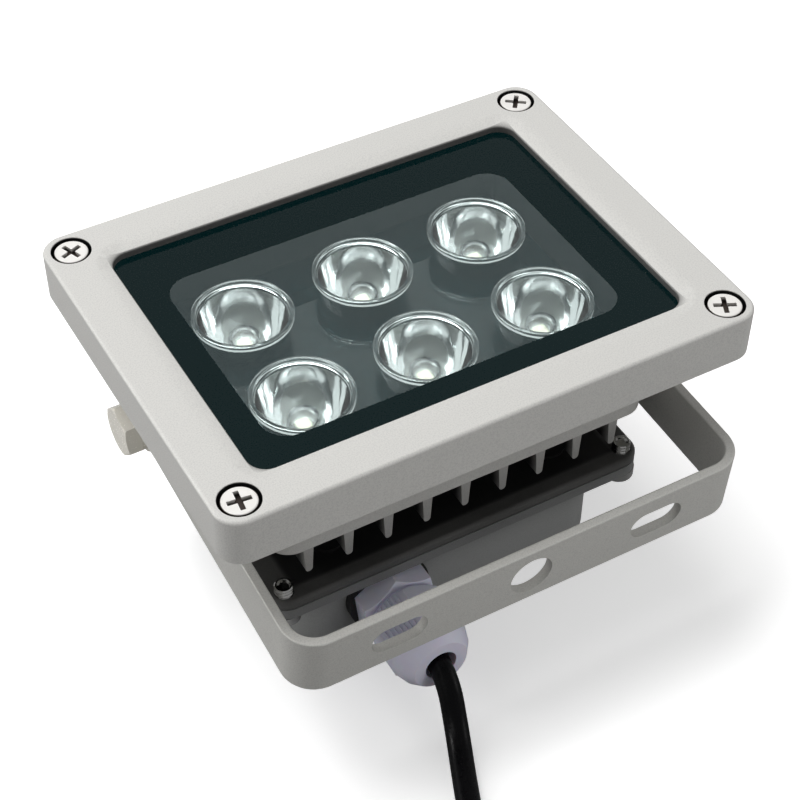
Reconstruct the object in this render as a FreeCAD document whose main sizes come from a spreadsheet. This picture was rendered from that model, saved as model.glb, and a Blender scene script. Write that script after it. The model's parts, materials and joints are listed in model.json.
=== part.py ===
import FreeCAD, Part
import math
import os
import re

import Sketcher

# Infrared illuminator: a die-cast lamp housing with a 3 by 2 grid of lenses behind glass, a driver
# box screwed to its finned back, a cable gland and a U bracket that tilts on two side bolts.
# Millimetres. The origin is the centre of the driver box's back face, +Z points out of the glass and
# the bracket's crosspiece lies towards -Y.

# Driving dimensions, each a cell of the sheet under its own name
SIZES = {
    # Front bezel
    "bezel_length": 115.0,
    "bezel_width": 87.0,
    "bezel_depth": 10.8,
    "bezel_corner": 5.0,
    "bezel_edge": 0.8,
    "bezel_lip": 2.6,
    "face_side": 11.0,
    "face_end": 10.1,
    "opening_corner": 4.0,
    "slope_run": 3.5,
    "slope_drop": 1.0,
    "rim_round": 0.5,
    "skirt_wall": 2.0,
    "skirt_gap": 0.3,
    # Screws that hold the bezel
    "bezel_screw_inset": 5.48,
    "bezel_screw_recess": 4.05,
    "bezel_screw_head": 3.45,
    "bezel_screw_head_height": 2.3,
    "bezel_screw_shank": 1.95,
    "bezel_screw_length": 7.4,
    # Glass, its printed border and its gasket
    "glass_thickness": 4.0,
    "glass_overlap": 2.0,
    "glass_gap": 0.5,
    "glass_corner": 2.5,
    "glass_edge": 0.4,
    "print_film": 0.1,
    "print_margin_side": 1.0,
    "print_margin_end": 3.7,
    "print_corner": 5.5,
    "gasket_width": 3.0,
    "gasket_inset": 0.5,
    "gasket_depth": 0.8,
    "gasket_stand": 0.4,
    # Rear housing: flange, tray, fins, pedestal and back plate
    "flange_thickness": 3.5,
    "flange_reach_side": 12.7,
    "flange_reach_end": 10.2,
    "tray_depth": 16.9,
    "tray_floor": 5.7,
    "tray_wall": 2.5,
    "tray_corner": 5.0,
    "pedestal_height": 14.1,
    "pedestal_length": 36.0,
    "pedestal_width": 26.0,
    "pedestal_corner": 5.0,
    "wire_hole": 4.0,
    "fin_count": 9,
    "fin_margin": 7.38,
    "fin_height": 8.4,
    "fin_root": 2.4,
    "fin_tip": 1.5,
    "fin_setback": 1.5,
    "plate_reach": 0.8,
    "plate_inset": 0.2,
    "plate_corner": 4.5,
    "plate_thickness": 1.9,
    "plate_edge": 0.9,
    "boss_radius": 4.5,
    "boss_height": 0.8,
    "boss_inset_side": 17.0,
    "boss_inset_end": 12.3,
    "lug_radius": 8.0,
    "lug_stand": 4.5,
    "lug_end_wall": 1.4,
    # Driver box
    "cover_depth": 21.2,
    "cover_rim": 2.7,
    "cover_wall": 2.4,
    "cover_corner": 8.0,
    "cover_ledge_side": 6.4,
    "cover_ledge_end": 5.2,
    "cover_edge": 1.6,
    "seam_gasket": 0.4,
    "seam_inset": 0.4,
    "cover_screw_inset": 3.5,
    "cover_screw_shank": 2.0,
    "cover_screw_length": 7.0,
    "cover_screw_head": 3.3,
    "cover_screw_head_height": 2.4,
    # Fits
    "thread_clearance": 0.05,
    "hole_clearance": 0.25,
    "close_clearance": 0.1,
    "pivot_clearance": 0.08,
    "arm_gap": 0.1,
    "part_gap": 0.3,
    # Light source
    "lens_columns": 3,
    "lens_rows": 2,
    "lens_side_gap": 1.6,
    "lens_end_gap": 4.25,
    "lens_gap_x": 4.2,
    "lens_gap_y": 2.9,
    "lens_height": 12.8,
    "lens_flange_depth": 1.2,
    "lens_flange_ledge": 1.2,
    "lens_foot": 5.0,
    "lens_front_well": 4.8,
    "lens_front_well_depth": 5.2,
    "lens_well_taper": 0.4,
    "lens_well_dip": 0.8,
    "lens_front_dish": 0.6,
    "lens_led_well": 2.9,
    "lens_led_well_depth": 4.2,
    "led_size": 3.6,
    "led_height": 0.9,
    "led_dome": 1.5,
    "board_thickness": 1.6,
    "board_gap": 1.0,
    "board_corner": 2.0,
    "board_screw_inset": 3.0,
    "board_screw_shank": 1.45,
    "board_screw_length": 4.8,
    "board_screw_head": 2.75,
    "board_screw_head_height": 1.8,
    "board_screw_tip_room": 0.3,
    "lens_plate_height": 6.5,
    "lens_plate_thickness": 1.6,
    "lens_bore_gap": 0.39,
    "lens_post": 2.2,
    "lens_post_inset": 3.4,
    # Screw heads: edge and cross recess, the recess as shares of the head
    "head_edge": 0.43,
    "cross_reach": 0.66,
    "cross_breadth": 0.14,
    "cross_depth": 0.6,
    # Driver
    "driver_side_gap": 8.5,
    "driver_end_gap": 3.2,
    "driver_gland_gap": 11.2,
    "driver_stand": 3.0,
    "driver_post": 2.6,
    "driver_post_inset": 3.5,
    "driver_screw_shank": 1.2,
    "driver_screw_length": 4.0,
    "driver_screw_head": 2.3,
    "driver_screw_head_height": 1.5,
    "driver_tap_floor": 0.4,
    "choke_ring": 4.6,
    "choke_section": 2.3,
    "capacitor_radius": 4.0,
    "capacitor_height": 11.0,
    "chip_length": 6.0,
    "chip_width": 4.0,
    "chip_height": 1.6,
    "chip_gap": 1.97,
    "lead_radius": 0.7,
    # Cable gland, along -Y out of the box's near wall
    "gland_offset": -16.2,
    "gland_height": 11.7,
    "gland_across": 15.5,
    "gland_thread": 6.0,
    "gland_tail": 8.2,
    "gland_bore": 4.2,
    "gland_hex_length": 5.0,
    "gland_neck": 6.9,
    "gland_neck_length": 6.4,
    "gland_gap": 0.8,
    "gland_washer": 9.2,
    "gland_washer_thickness": 2.1,
    "hex_crown_inset": 0.15,
    "hex_crown_reach": 1.5,
    "hex_crown_drop": 1.1,
    "cap_hex_length": 9.5,
    "grip_grooves": 7,
    "grip_pitch": 1.05,
    "grip_groove": 0.5,
    "grip_depth": 0.35,
    "cap_shoulder": 8.4,
    "cap_shoulder_band": 1.0,
    "cap_mouth": 6.0,
    "cap_dome_length": 5.5,
    "cap_waist": 3.3,
    "cap_bulge": 0.45,
    "cap_bore": 3.5,
    "cap_cone": 2.5,
    "cap_room": 1.5,
    "seal_depth": 5.0,
    "seal_collar": 5.8,
    "seal_collar_height": 0.9,
    "seal_nose": 3.4,
    "seal_nose_wall": 0.9,
    "lock_nut_across": 17.0,
    "lock_nut_thickness": 4.0,
    "cable_radius": 2.45,
    "entry_lead": 2.4,
    "entry_inset": 3.9,
    # Bracket, pivot bolts and washers
    "pivot_y": 15.5,
    "pivot_z": 40.0,
    "bracket_tilt": 3.6,
    "bracket_reach": 69.6,
    "arm_flare": 1.1,
    "arm_end_margin": 2.0,
    "strip_width": 14.4,
    "strip_thickness": 2.0,
    "strip_edge": 0.35,
    "bend_radius": 7.0,
    "middle_hole": 4.65,
    "slot_inset": 21.35,
    "slot_length": 12.0,
    "slot_width": 6.5,
    "bolt_radius": 3.0,
    "bolt_length": 14.0,
    "bolt_across": 10.0,
    "bolt_head_height": 3.2,
    "bolt_turn": 12.0,
    "bolt_tip_room": 1.38,
    "bolt_edge_depth": 0.55,
    "bolt_edge_reach": 1.2,
    "washer_radius": 6.0,
    "washer_thickness": 1.0,
    "washer_gap": 0.08,
    "washer_clearance": 0.2,
    "spring_washer_radius": 5.2,
    "spring_washer_thickness": 1.5,
    "spring_washer_split": 1.0,
    "split_margin": 1.0,
    # Coil of spare cable and the connector at its end
    "coil_mean_radius": 27.0,
    "coil_width": 14.7,
    "coil_height": 9.2,
    "coil_corner": 2.4,
    "connector_radius": 5.0,
    "connector_length": 22.0,
    "connector_relief_length": 9.0,
    "connector_bore": 2.85,
    "connector_bore_depth": 9.5,
    "connector_pin": 1.0,
    "connector_edge": 0.3,
    "connector_step": 0.6,
    "connector_shoulder_length": 1.0,
    "relief_wall": 0.7,
}

# Levels and outlines worked out from the driving dimensions
DERIVED = {
    "rim_top": "cover_depth + cover_rim",
    "plate_bottom": "rim_top + seam_gasket",
    "plate_top": "plate_bottom + plate_thickness",
    "tray_bottom": "plate_top + pedestal_height",
    "tray_seat": "tray_bottom + tray_floor",
    "flange_top": "tray_seat + tray_depth",
    "flange_bottom": "flange_top - flange_thickness",
    "print_bottom": "flange_top + gasket_stand",
    "glass_bottom": "print_bottom + print_film",
    "glass_top": "glass_bottom + glass_thickness",
    "bezel_top": "glass_top + bezel_lip",
    "bezel_bottom": "bezel_top - bezel_depth",
    "skirt_height": "flange_top - bezel_bottom",
    "glass_seat": "glass_top - flange_top",
    "slope_level": "bezel_top - slope_drop",
    "opening_length": "bezel_length - 2 * face_side",
    "opening_width": "bezel_width - 2 * face_end",
    "sloped_length": "opening_length + 2 * slope_run",
    "sloped_width": "opening_width + 2 * slope_run",
    "sloped_corner": "opening_corner + slope_run",
    "skirt_length": "bezel_length - 2 * skirt_wall",
    "skirt_width": "bezel_width - 2 * skirt_wall",
    "skirt_corner": "bezel_corner - skirt_wall",
    "bezel_screws_x": "bezel_length - 2 * bezel_screw_inset",
    "bezel_screws_y": "bezel_width - 2 * bezel_screw_inset",
    "bezel_screw_hole": "bezel_screw_shank + hole_clearance",
    "bezel_screw_tap": "bezel_screw_shank + thread_clearance",
    "glass_length": "opening_length + 2 * glass_overlap",
    "glass_width": "opening_width + 2 * glass_overlap",
    "glass_pocket_length": "glass_length + 2 * glass_gap",
    "glass_pocket_width": "glass_width + 2 * glass_gap",
    "glass_pocket_corner": "glass_corner + glass_gap",
    "gasket_thickness": "gasket_depth + gasket_stand",
    "gasket_bottom": "flange_top - gasket_depth",
    "gasket_length": "glass_length - 2 * gasket_inset",
    "gasket_breadth": "glass_width - 2 * gasket_inset",
    "gasket_corner": "glass_corner + gasket_width",
    "gasket_hole_length": "gasket_length - 2 * gasket_width",
    "gasket_hole_breadth": "gasket_breadth - 2 * gasket_width",
    "flange_length": "skirt_length - 2 * skirt_gap",
    "flange_width": "skirt_width - 2 * skirt_gap",
    "flange_corner": "skirt_corner",
    "tray_length": "flange_length - 2 * flange_reach_side",
    "tray_width": "flange_width - 2 * flange_reach_end",
    "cavity_length": "tray_length - 2 * tray_wall",
    "cavity_width": "tray_width - 2 * tray_wall",
    "cavity_corner": "tray_corner - tray_wall",
    "print_hole_length": "cavity_length - 2 * print_margin_side",
    "print_hole_width": "cavity_width - 2 * print_margin_end",
    "fin_end": "tray_bottom - fin_height",
    "fin_arc_centre": "fin_end + fin_tip / 2",
    "fin_root_half": "fin_root / 2",
    "fin_tip_half": "fin_tip / 2",
    "fin_span": "tray_length - 2 * fin_margin",
    "fin_first": "-fin_span / 2",
    "fin_length": "tray_width - 2 * fin_setback",
    "lug_face": "tray_length / 2 + lug_stand",
    "lug_length": "bolt_hole_depth + lug_end_wall",
    "lug_root": "lug_face - lug_length",
    "bolt_tap": "bolt_radius + thread_clearance",
    "bolt_hole_depth": "bolt_length - bolt_seat + lug_face + bolt_tip_room",
    "plate_length": "tray_length + 2 * plate_reach",
    "plate_width": "tray_width - 2 * plate_inset",
    "boss_across": "plate_length - 2 * boss_inset_side",
    "boss_along": "plate_width - 2 * boss_inset_end",
    "cover_screws_x": "plate_length - 2 * cover_screw_inset",
    "cover_screws_y": "plate_width - 2 * cover_screw_inset",
    "cover_screw_hole": "cover_screw_shank + close_clearance",
    "cover_screw_tap": "cover_screw_shank + thread_clearance",
    "box_length": "plate_length - 2 * cover_ledge_side",
    "box_width": "plate_width - 2 * cover_ledge_end",
    "box_cavity_length": "box_length - 2 * cover_wall",
    "box_cavity_width": "box_width - 2 * cover_wall",
    "box_cavity_corner": "cover_corner - cover_wall",
    "box_cavity_depth": "rim_top - cover_wall",
    "box_wall_y": "box_width / 2",
    "gland_wall_hole": "gland_thread + hole_clearance",
    "gland_wall_cut": "2 * cover_wall",
    "seam_length": "plate_length - 2 * seam_inset",
    "seam_width": "plate_width - 2 * seam_inset",
    "seam_corner": "plate_corner - seam_inset",
    "board_length": "cavity_length - 2 * board_gap",
    "board_width": "cavity_width - 2 * board_gap",
    "board_top": "tray_seat + board_thickness",
    "board_screws_x": "board_length - 2 * board_screw_inset",
    "board_screws_y": "board_width - 2 * board_screw_inset",
    "board_screw_hole": "board_screw_shank + hole_clearance",
    "board_screw_tap": "board_screw_shank + thread_clearance",
    "board_screw_depth": "board_screw_length - board_thickness + board_screw_tip_room",
    "lens_plate_length": "cavity_length - 2 * part_gap",
    "lens_plate_width": "cavity_width - 2 * part_gap",
    "lens_plate_bottom": "board_top + lens_plate_height - lens_plate_thickness",
    "lens_post_length": "lens_plate_height - lens_plate_thickness",
    "lens_room_x": "cavity_length - 2 * lens_side_gap - (lens_columns - 1) * lens_gap_x",
    "lens_room_y": "cavity_width - 2 * lens_end_gap - (lens_rows - 1) * lens_gap_y",
    "lens_fit_x": "lens_room_x / (2 * lens_columns)",
    "lens_fit_y": "lens_room_y / (2 * lens_rows)",
    "lens_flange": "min(lens_fit_x; lens_fit_y)",
    "lens_body": "lens_flange - lens_flange_ledge",
    "lens_pitch_x": "(cavity_length - 2 * lens_side_gap - 2 * lens_flange) / (lens_columns - 1)",
    "lens_pitch_y": "(cavity_width - 2 * lens_end_gap - 2 * lens_flange) / (lens_rows - 1)",
    "lens_slope": "(lens_body - lens_foot) / lens_flange_base",
    "lens_plate_bore": "lens_foot + lens_slope * lens_plate_height + lens_bore_gap",
    "lens_posts_x": "lens_pitch_x",
    "lens_posts_y": "cavity_width - 2 * lens_post_inset",
    "lens_flange_base": "lens_height - lens_flange_depth",
    "lens_dish_level": "lens_height - lens_front_dish",
    "lens_well_level": "lens_height - lens_front_well_depth",
    "lens_well_middle": "lens_well_level - lens_well_dip",
    "lens_well_foot": "lens_front_well - lens_well_taper",
    "driver_length": "box_cavity_length - 2 * driver_side_gap",
    "driver_width": "box_cavity_width - driver_end_gap - driver_gland_gap",
    "driver_shift": "(driver_gland_gap - driver_end_gap) / 2",
    "driver_level": "cover_wall + driver_stand",
    "driver_top": "driver_level + board_thickness",
    "driver_posts_x": "driver_length - 2 * driver_post_inset",
    "driver_posts_y": "driver_width - 2 * driver_post_inset",
    "driver_screw_hole": "driver_screw_shank + hole_clearance",
    "driver_screw_tap": "driver_screw_shank + thread_clearance",
    "driver_tap_depth": "driver_stand - driver_tap_floor",
    "choke_level": "driver_top + choke_section",
    "gland_hex_top": "gland_washer_thickness + gland_hex_length",
    "gland_neck_top": "gland_hex_top + gland_neck_length",
    "gland_washer_hole": "gland_thread + close_clearance",
    "hex_crown_start": "gland_across / 2 - hex_crown_inset",
    "hex_crown_limit": "gland_across / 2 + hex_crown_reach",
    "gland_crown_level": "gland_hex_top - hex_crown_drop",
    "cap_base": "gland_hex_top + gland_gap",
    "cap_crown_level": "cap_base + hex_crown_drop",
    "grip_floor": "gland_across / 2 - grip_depth",
    "grip_span": "(grip_grooves - 1) * grip_pitch",
    "grip_start": "-(grip_span + grip_groove) / 2",
    "grip_end": "-(grip_span - grip_groove) / 2",
    "cap_hex_top": "cap_base + cap_hex_length",
    "cap_top": "cap_hex_top + cap_dome_length",
    "cap_cavity": "gland_neck + thread_clearance",
    "cap_cavity_top": "gland_neck_top + cap_room",
    "cap_cone_top": "cap_top - cap_cone",
    "cap_shoulder_top": "cap_hex_top + cap_shoulder_band",
    "cap_dome_waist": "cap_hex_top + cap_waist",
    "cap_dome_half": "(cap_shoulder + cap_mouth) / 2 + cap_bulge",
    "seal_radius": "gland_bore - thread_clearance",
    "seal_bore": "cable_radius + thread_clearance",
    "seal_base": "gland_neck_top - seal_depth",
    "seal_collar_base": "gland_neck_top + thread_clearance",
    "seal_collar_top": "seal_collar_base + seal_collar_height",
    "seal_top": "seal_collar_base + seal_nose",
    "seal_tip": "cable_radius + seal_nose_wall",
    "entry_base": "gland_tail + entry_lead",
    "entry_length": "entry_base + cap_top - entry_inset",
    "lock_nut_hole": "gland_thread + thread_clearance",
    "lock_nut_base": "cover_wall + lock_nut_thickness",
    "arm_hole": "bolt_radius + pivot_clearance",
    "arm_tip_x": "lug_face + arm_gap + strip_thickness / 2",
    "arm_tip_y": "strip_width / 2",
    "bracket_half": "arm_tip_x + strip_thickness / 2 + arm_flare",
    "arm_run": "arm_tip_y + bracket_reach - bend_radius",
    "arm_lean": "arm_flare * (arm_tip_y + washer_radius) / arm_run",
    "arm_bend_x": "bracket_half - bend_radius",
    "arm_bend": "bend_radius - strip_thickness / 2",
    "strip_middle": "-bracket_reach + strip_thickness / 2",
    "crosspiece_cut": "bracket_reach + strip_thickness",
    "slot_half": "bracket_half - slot_inset",
    "arm_cut": "2 * bracket_half + 4 * strip_thickness",
    "arm_end_limit": "strip_width / 2 + arm_end_margin",
    "washer_seat": "arm_tip_x + strip_thickness / 2 + arm_lean + washer_gap",
    "spring_seat": "washer_seat + washer_thickness",
    "bolt_seat": "spring_seat + spring_washer_thickness",
    "washer_hole": "bolt_radius + washer_clearance",
    "split_half": "spring_washer_split / 2",
    "split_limit": "spring_washer_radius + split_margin",
    "bolt_chamfer": "bolt_across / 2",
    "bolt_chamfer_level": "bolt_head_height - bolt_edge_depth",
    "bolt_chamfer_reach": "bolt_across / 2 + bolt_edge_reach",
    "coil_middle": "coil_height / 2",
    "connector_relief": "cable_radius + relief_wall",
    "connector_collar": "connector_radius - connector_step",
    "connector_top": "connector_relief_length + connector_length",
    "connector_shoulder": "connector_relief_length + connector_shoulder_length",
    "connector_bore_level": "connector_top - connector_bore_depth",
    "connector_face": "connector_radius - connector_edge",
    "connector_chamfer": "connector_top - connector_edge",
}

# Which way each bezel screw's cross was left turned, in degrees
BEZEL_SCREW_TURNS = (8.0, 22.0, 38.0, 64.0)
COVER_SCREW_TURNS = (15.0, 48.0, 71.0, 30.0)

# Draft of the cross recess, and how far the gland's hexagon was left turned, in degrees
CROSS_TAPER = 12.0
GLAND_TURN = 36.7

# The cable outside the gland, point by point
CABLE_ROUTE = (
    (-16.2, -44.6, 11.7),
    (-16.2, -50.8, 11.7),
    (-18.4, -59.2, 2.6),
    (-23.4, -70.6, 2.5),
    (-28.0, -82.2, 2.5),
    (-31.0, -92.6, 2.5),
    (-32.1, -101.6, 2.5),
)
COIL_CENTRE = (-64.0, -101.0)
CABLE_TAIL_ROUTE = (
    (-95.6, -96.6, 2.5),
    (-96.3, -88.4, 2.5),
    (-95.4, -80.6, 5.0),
    (-95.4, -74.4, 5.0),
)
CONNECTOR_PLACE = (-95.4, -74.4)

# The wires inside, from the cable's end to the driver board and from there up to the light board
SUPPLY_LEAD_SPREAD = 1.3
SUPPLY_LEAD_INSET = 4.0
LED_LEAD_SPREAD = 1.5
LED_LEAD_BOW = 3.0

document = FreeCAD.newDocument("InfraredIlluminator")
sizes = document.addObject("Spreadsheet::Sheet", "Sizes")
derived = document.addObject("Spreadsheet::Sheet", "Derived")


def linked(text, own=()):
    """The formula with each name replaced by its cell; names of the sheet itself stay bare."""

    def cell(match):
        word = match.group()
        if word in own:
            return word
        if word in SIZES:
            return "Sizes." + word
        if word in DERIVED:
            return "Derived." + word
        return word

    return re.sub(r"[a-z][a-z_0-9]*", cell, text)


def fill_sheets():
    for row, (name, amount) in enumerate(SIZES.items(), start=1):
        sizes.set("A%d" % row, name)
        sizes.set("B%d" % row, str(amount))
        sizes.setAlias("B%d" % row, name)
    for row, (name, text) in enumerate(DERIVED.items(), start=1):
        derived.set("A%d" % row, name)
        derived.setAlias("B%d" % row, name)
    for row, (name, text) in enumerate(DERIVED.items(), start=1):
        derived.set("B%d" % row, "=" + linked(text, own=DERIVED))
    document.recompute()


def amount(text):
    """The number behind a name, a negative name or a plain number."""
    word = text.lstrip("-")
    sign = -1.0 if text.startswith("-") else 1.0
    if word in SIZES:
        return sign * float(getattr(sizes, word))
    if word in DERIVED:
        return sign * float(getattr(derived, word))
    return sign * float(word)


def bind(target, path, text):
    target.setExpression(path, linked(text))


# Sketches

def new_body(name):
    body = document.addObject("PartDesign::Body", name)
    body.Label = name
    return body


def sketch_on(body, role="XY_Plane", height="0"):
    sketch = body.newObject("Sketcher::SketchObject", body.Name + "_sketch")
    plane = [feature for feature in body.Origin.OriginFeatures if feature.Role == role][0]
    sketch.AttachmentSupport = [(plane, "")]
    sketch.MapMode = "FlatFace"
    if height != "0":
        bind(sketch, "AttachmentOffset.Base.z", height)
    return sketch


def constrain(sketch, kind, where, text):
    index = sketch.addConstraint(Sketcher.Constraint(kind, *where, amount(text)))
    bind(sketch, "Constraints[%d]" % index, text)


def fix_point(sketch, shape, end, x, y):
    for kind, axis, text in (("DistanceX", -2, x), ("DistanceY", -1, y)):
        if text == "0":
            sketch.addConstraint(Sketcher.Constraint("PointOnObject", shape, end, axis))
        else:
            constrain(sketch, kind, (-1, 1, shape, end), text)


def polygon(sketch, points):
    corners = [FreeCAD.Vector(amount(x), amount(y), 0) for x, y in points]
    lines = []
    for start, end in zip(corners, corners[1:] + corners[:1]):
        lines.append(sketch.addGeometry(Part.LineSegment(start, end), False))
    for line, following in zip(lines, lines[1:] + lines[:1]):
        sketch.addConstraint(Sketcher.Constraint("Coincident", line, 2, following, 1))
    for line, (x, y) in zip(lines, points):
        fix_point(sketch, line, 1, x, y)


def circle(sketch, radius, x="0", y="0"):
    centre = FreeCAD.Vector(amount(x), amount(y), 0)
    ring = sketch.addGeometry(Part.Circle(centre, FreeCAD.Vector(0, 0, 1), amount(radius)), False)
    fix_point(sketch, ring, 3, x, y)
    constrain(sketch, "Radius", (ring,), radius)


def four_circles(sketch, radius, across, along):
    """Four circles at the corners of a rectangle about the middle."""
    rings = []
    for sign_x, sign_y in ((1, 1), (-1, 1), (-1, -1), (1, -1)):
        centre = FreeCAD.Vector(sign_x * amount(across) / 2, sign_y * amount(along) / 2, 0)
        circle_shape = Part.Circle(centre, FreeCAD.Vector(0, 0, 1), amount(radius))
        rings.append(sketch.addGeometry(circle_shape, False))
    sketch.addConstraint(Sketcher.Constraint("Symmetric", rings[0], 3, rings[2], 3, -1, 1))
    sketch.addConstraint(Sketcher.Constraint("Symmetric", rings[0], 3, rings[1], 3, -2))
    sketch.addConstraint(Sketcher.Constraint("Symmetric", rings[0], 3, rings[3], 3, -1))
    for ring in rings[1:]:
        sketch.addConstraint(Sketcher.Constraint("Equal", rings[0], ring))
    constrain(sketch, "Radius", (rings[0],), radius)
    constrain(sketch, "DistanceX", (rings[1], 3, rings[0], 3), across)
    constrain(sketch, "DistanceY", (rings[3], 3, rings[0], 3), along)


def rounded_rectangle(sketch, length, width, corner, x="0", y="0"):
    half_x = amount(length) / 2
    half_y = amount(width) / 2
    radius = amount(corner)
    middle = FreeCAD.Vector(amount(x), amount(y), 0)
    lines = []
    arcs = []
    for quarter, (sign_x, sign_y) in enumerate(((1, -1), (1, 1), (-1, 1), (-1, -1))):
        before = math.radians(90 * quarter - 90)
        centre = middle + FreeCAD.Vector(sign_x * (half_x - radius), sign_y * (half_y - radius), 0)
        ring = Part.Circle(centre, FreeCAD.Vector(0, 0, 1), radius)
        arcs.append(Part.ArcOfCircle(ring, before, before + math.pi / 2))
    shapes = []
    for arc, following in zip(arcs, arcs[1:] + arcs[:1]):
        shapes.append(sketch.addGeometry(arc, False))
        lines.append(sketch.addGeometry(Part.LineSegment(arc.EndPoint, following.StartPoint), False))
    for index in range(4):
        sketch.addConstraint(Sketcher.Constraint("Tangent", shapes[index], 2, lines[index], 1))
        following = shapes[(index + 1) % 4]
        sketch.addConstraint(Sketcher.Constraint("Tangent", lines[index], 2, following, 1))
    for index, kind in ((0, "Vertical"), (1, "Horizontal"), (2, "Vertical"), (3, "Horizontal")):
        sketch.addConstraint(Sketcher.Constraint(kind, lines[index]))
    for shape in shapes[1:]:
        sketch.addConstraint(Sketcher.Constraint("Equal", shapes[0], shape))
    constrain(sketch, "Radius", (shapes[0],), corner)
    constrain(sketch, "DistanceX", (lines[2], 1, lines[0], 1), length)
    constrain(sketch, "DistanceY", (lines[3], 1, lines[1], 1), width)
    if (x, y) == ("0", "0"):
        sketch.addConstraint(Sketcher.Constraint("Symmetric", shapes[0], 3, shapes[2], 3, -1, 1))
        return
    mark = sketch.addGeometry(Part.Point(middle), True)
    fix_point(sketch, mark, 1, x, y)
    sketch.addConstraint(Sketcher.Constraint("Symmetric", shapes[0], 3, shapes[2], 3, mark, 1))


def rectangle(sketch, length, width):
    half_x = amount(length) / 2
    half_y = amount(width) / 2
    signs = ((-1, -1), (1, -1), (1, 1), (-1, 1))
    corners = [FreeCAD.Vector(sign_x * half_x, sign_y * half_y, 0) for sign_x, sign_y in signs]
    lines = []
    for start, end in zip(corners, corners[1:] + corners[:1]):
        lines.append(sketch.addGeometry(Part.LineSegment(start, end), False))
    for line, following in zip(lines, lines[1:] + lines[:1]):
        sketch.addConstraint(Sketcher.Constraint("Coincident", line, 2, following, 1))
    for index, kind in ((0, "Horizontal"), (1, "Vertical"), (2, "Horizontal"), (3, "Vertical")):
        sketch.addConstraint(Sketcher.Constraint(kind, lines[index]))
    constrain(sketch, "DistanceX", (lines[0], 1, lines[0], 2), length)
    constrain(sketch, "DistanceY", (lines[1], 1, lines[1], 2), width)
    sketch.addConstraint(Sketcher.Constraint("Symmetric", lines[0], 1, lines[2], 1, -1, 1))


def hexagon(sketch, across):
    """A regular hexagon about the middle with a corner on the first axis."""
    corner = amount(across) / math.sqrt(3)
    points = []
    for index in range(6):
        angle = math.radians(60 * index)
        points.append(FreeCAD.Vector(corner * math.cos(angle), corner * math.sin(angle), 0))
    lines = []
    for start, end in zip(points, points[1:] + points[:1]):
        lines.append(sketch.addGeometry(Part.LineSegment(start, end), False))
    for line, following in zip(lines, lines[1:] + lines[:1]):
        sketch.addConstraint(Sketcher.Constraint("Coincident", line, 2, following, 1))
    around = Part.Circle(FreeCAD.Vector(0, 0, 0), FreeCAD.Vector(0, 0, 1), corner)
    ring = sketch.addGeometry(around, True)
    sketch.addConstraint(Sketcher.Constraint("Coincident", ring, 3, -1, 1))
    for line in lines:
        sketch.addConstraint(Sketcher.Constraint("PointOnObject", line, 1, ring))
    for line in lines[1:]:
        sketch.addConstraint(Sketcher.Constraint("Equal", lines[0], line))
    sketch.addConstraint(Sketcher.Constraint("PointOnObject", lines[0], 1, -1))
    index = sketch.addConstraint(Sketcher.Constraint("Radius", ring, corner))
    bind(sketch, "Constraints[%d]" % index, across + " / sqrt(3)")


def slot(sketch, x, y, length, width):
    radius = amount(width) / 2
    run = amount(length) / 2 - radius
    middle = FreeCAD.Vector(amount(x), amount(y), 0)
    up = FreeCAD.Vector(0, 0, 1)
    right_ring = Part.Circle(middle + FreeCAD.Vector(run, 0, 0), up, radius)
    left_ring = Part.Circle(middle - FreeCAD.Vector(run, 0, 0), up, radius)
    right = Part.ArcOfCircle(right_ring, -math.pi / 2, math.pi / 2)
    left = Part.ArcOfCircle(left_ring, math.pi / 2, 3 * math.pi / 2)
    right_arc = sketch.addGeometry(right, False)
    top_line = sketch.addGeometry(Part.LineSegment(right.EndPoint, left.StartPoint), False)
    left_arc = sketch.addGeometry(left, False)
    low_line = sketch.addGeometry(Part.LineSegment(left.EndPoint, right.StartPoint), False)
    loop = (right_arc, top_line, left_arc, low_line)
    for shape, following in zip(loop, loop[1:] + loop[:1]):
        sketch.addConstraint(Sketcher.Constraint("Tangent", shape, 2, following, 1))
    sketch.addConstraint(Sketcher.Constraint("Horizontal", top_line))
    sketch.addConstraint(Sketcher.Constraint("Equal", right_arc, left_arc))
    index = sketch.addConstraint(Sketcher.Constraint("Radius", right_arc, radius))
    bind(sketch, "Constraints[%d]" % index, width + " / 2")
    where = Sketcher.Constraint("DistanceX", left_arc, 3, right_arc, 3, 2 * run)
    index = sketch.addConstraint(where)
    bind(sketch, "Constraints[%d]" % index, length + " - " + width)
    mark = sketch.addGeometry(Part.Point(middle), True)
    fix_point(sketch, mark, 1, x, y)
    sketch.addConstraint(Sketcher.Constraint("Symmetric", left_arc, 3, right_arc, 3, mark, 1))


# Features

def extrude(kind, sketch, length, reverse=False, both_ways=False, taper=None):
    body = sketch.getParentGeoFeatureGroup()
    feature = body.newObject("PartDesign::" + kind, body.Name + "_" + kind.lower())
    feature.Profile = sketch
    bind(feature, "Length", length)
    feature.Reversed = reverse
    if both_ways:
        feature.SideType = "Symmetric"
    if taper is not None:
        feature.TaperAngle = taper
    return feature


def pad(sketch, length, **options):
    return extrude("Pad", sketch, length, **options)


def pocket(sketch, length, **options):
    return extrude("Pocket", sketch, length, **options)


def turn(sketch, kind="Revolution"):
    """A full turn of the profile about its sketch's upright axis."""
    body = sketch.getParentGeoFeatureGroup()
    feature = body.newObject("PartDesign::" + kind, body.Name + "_turned")
    feature.Profile = sketch
    feature.ReferenceAxis = (sketch, ["V_Axis"])
    feature.Angle = 360.0
    return feature


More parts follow.
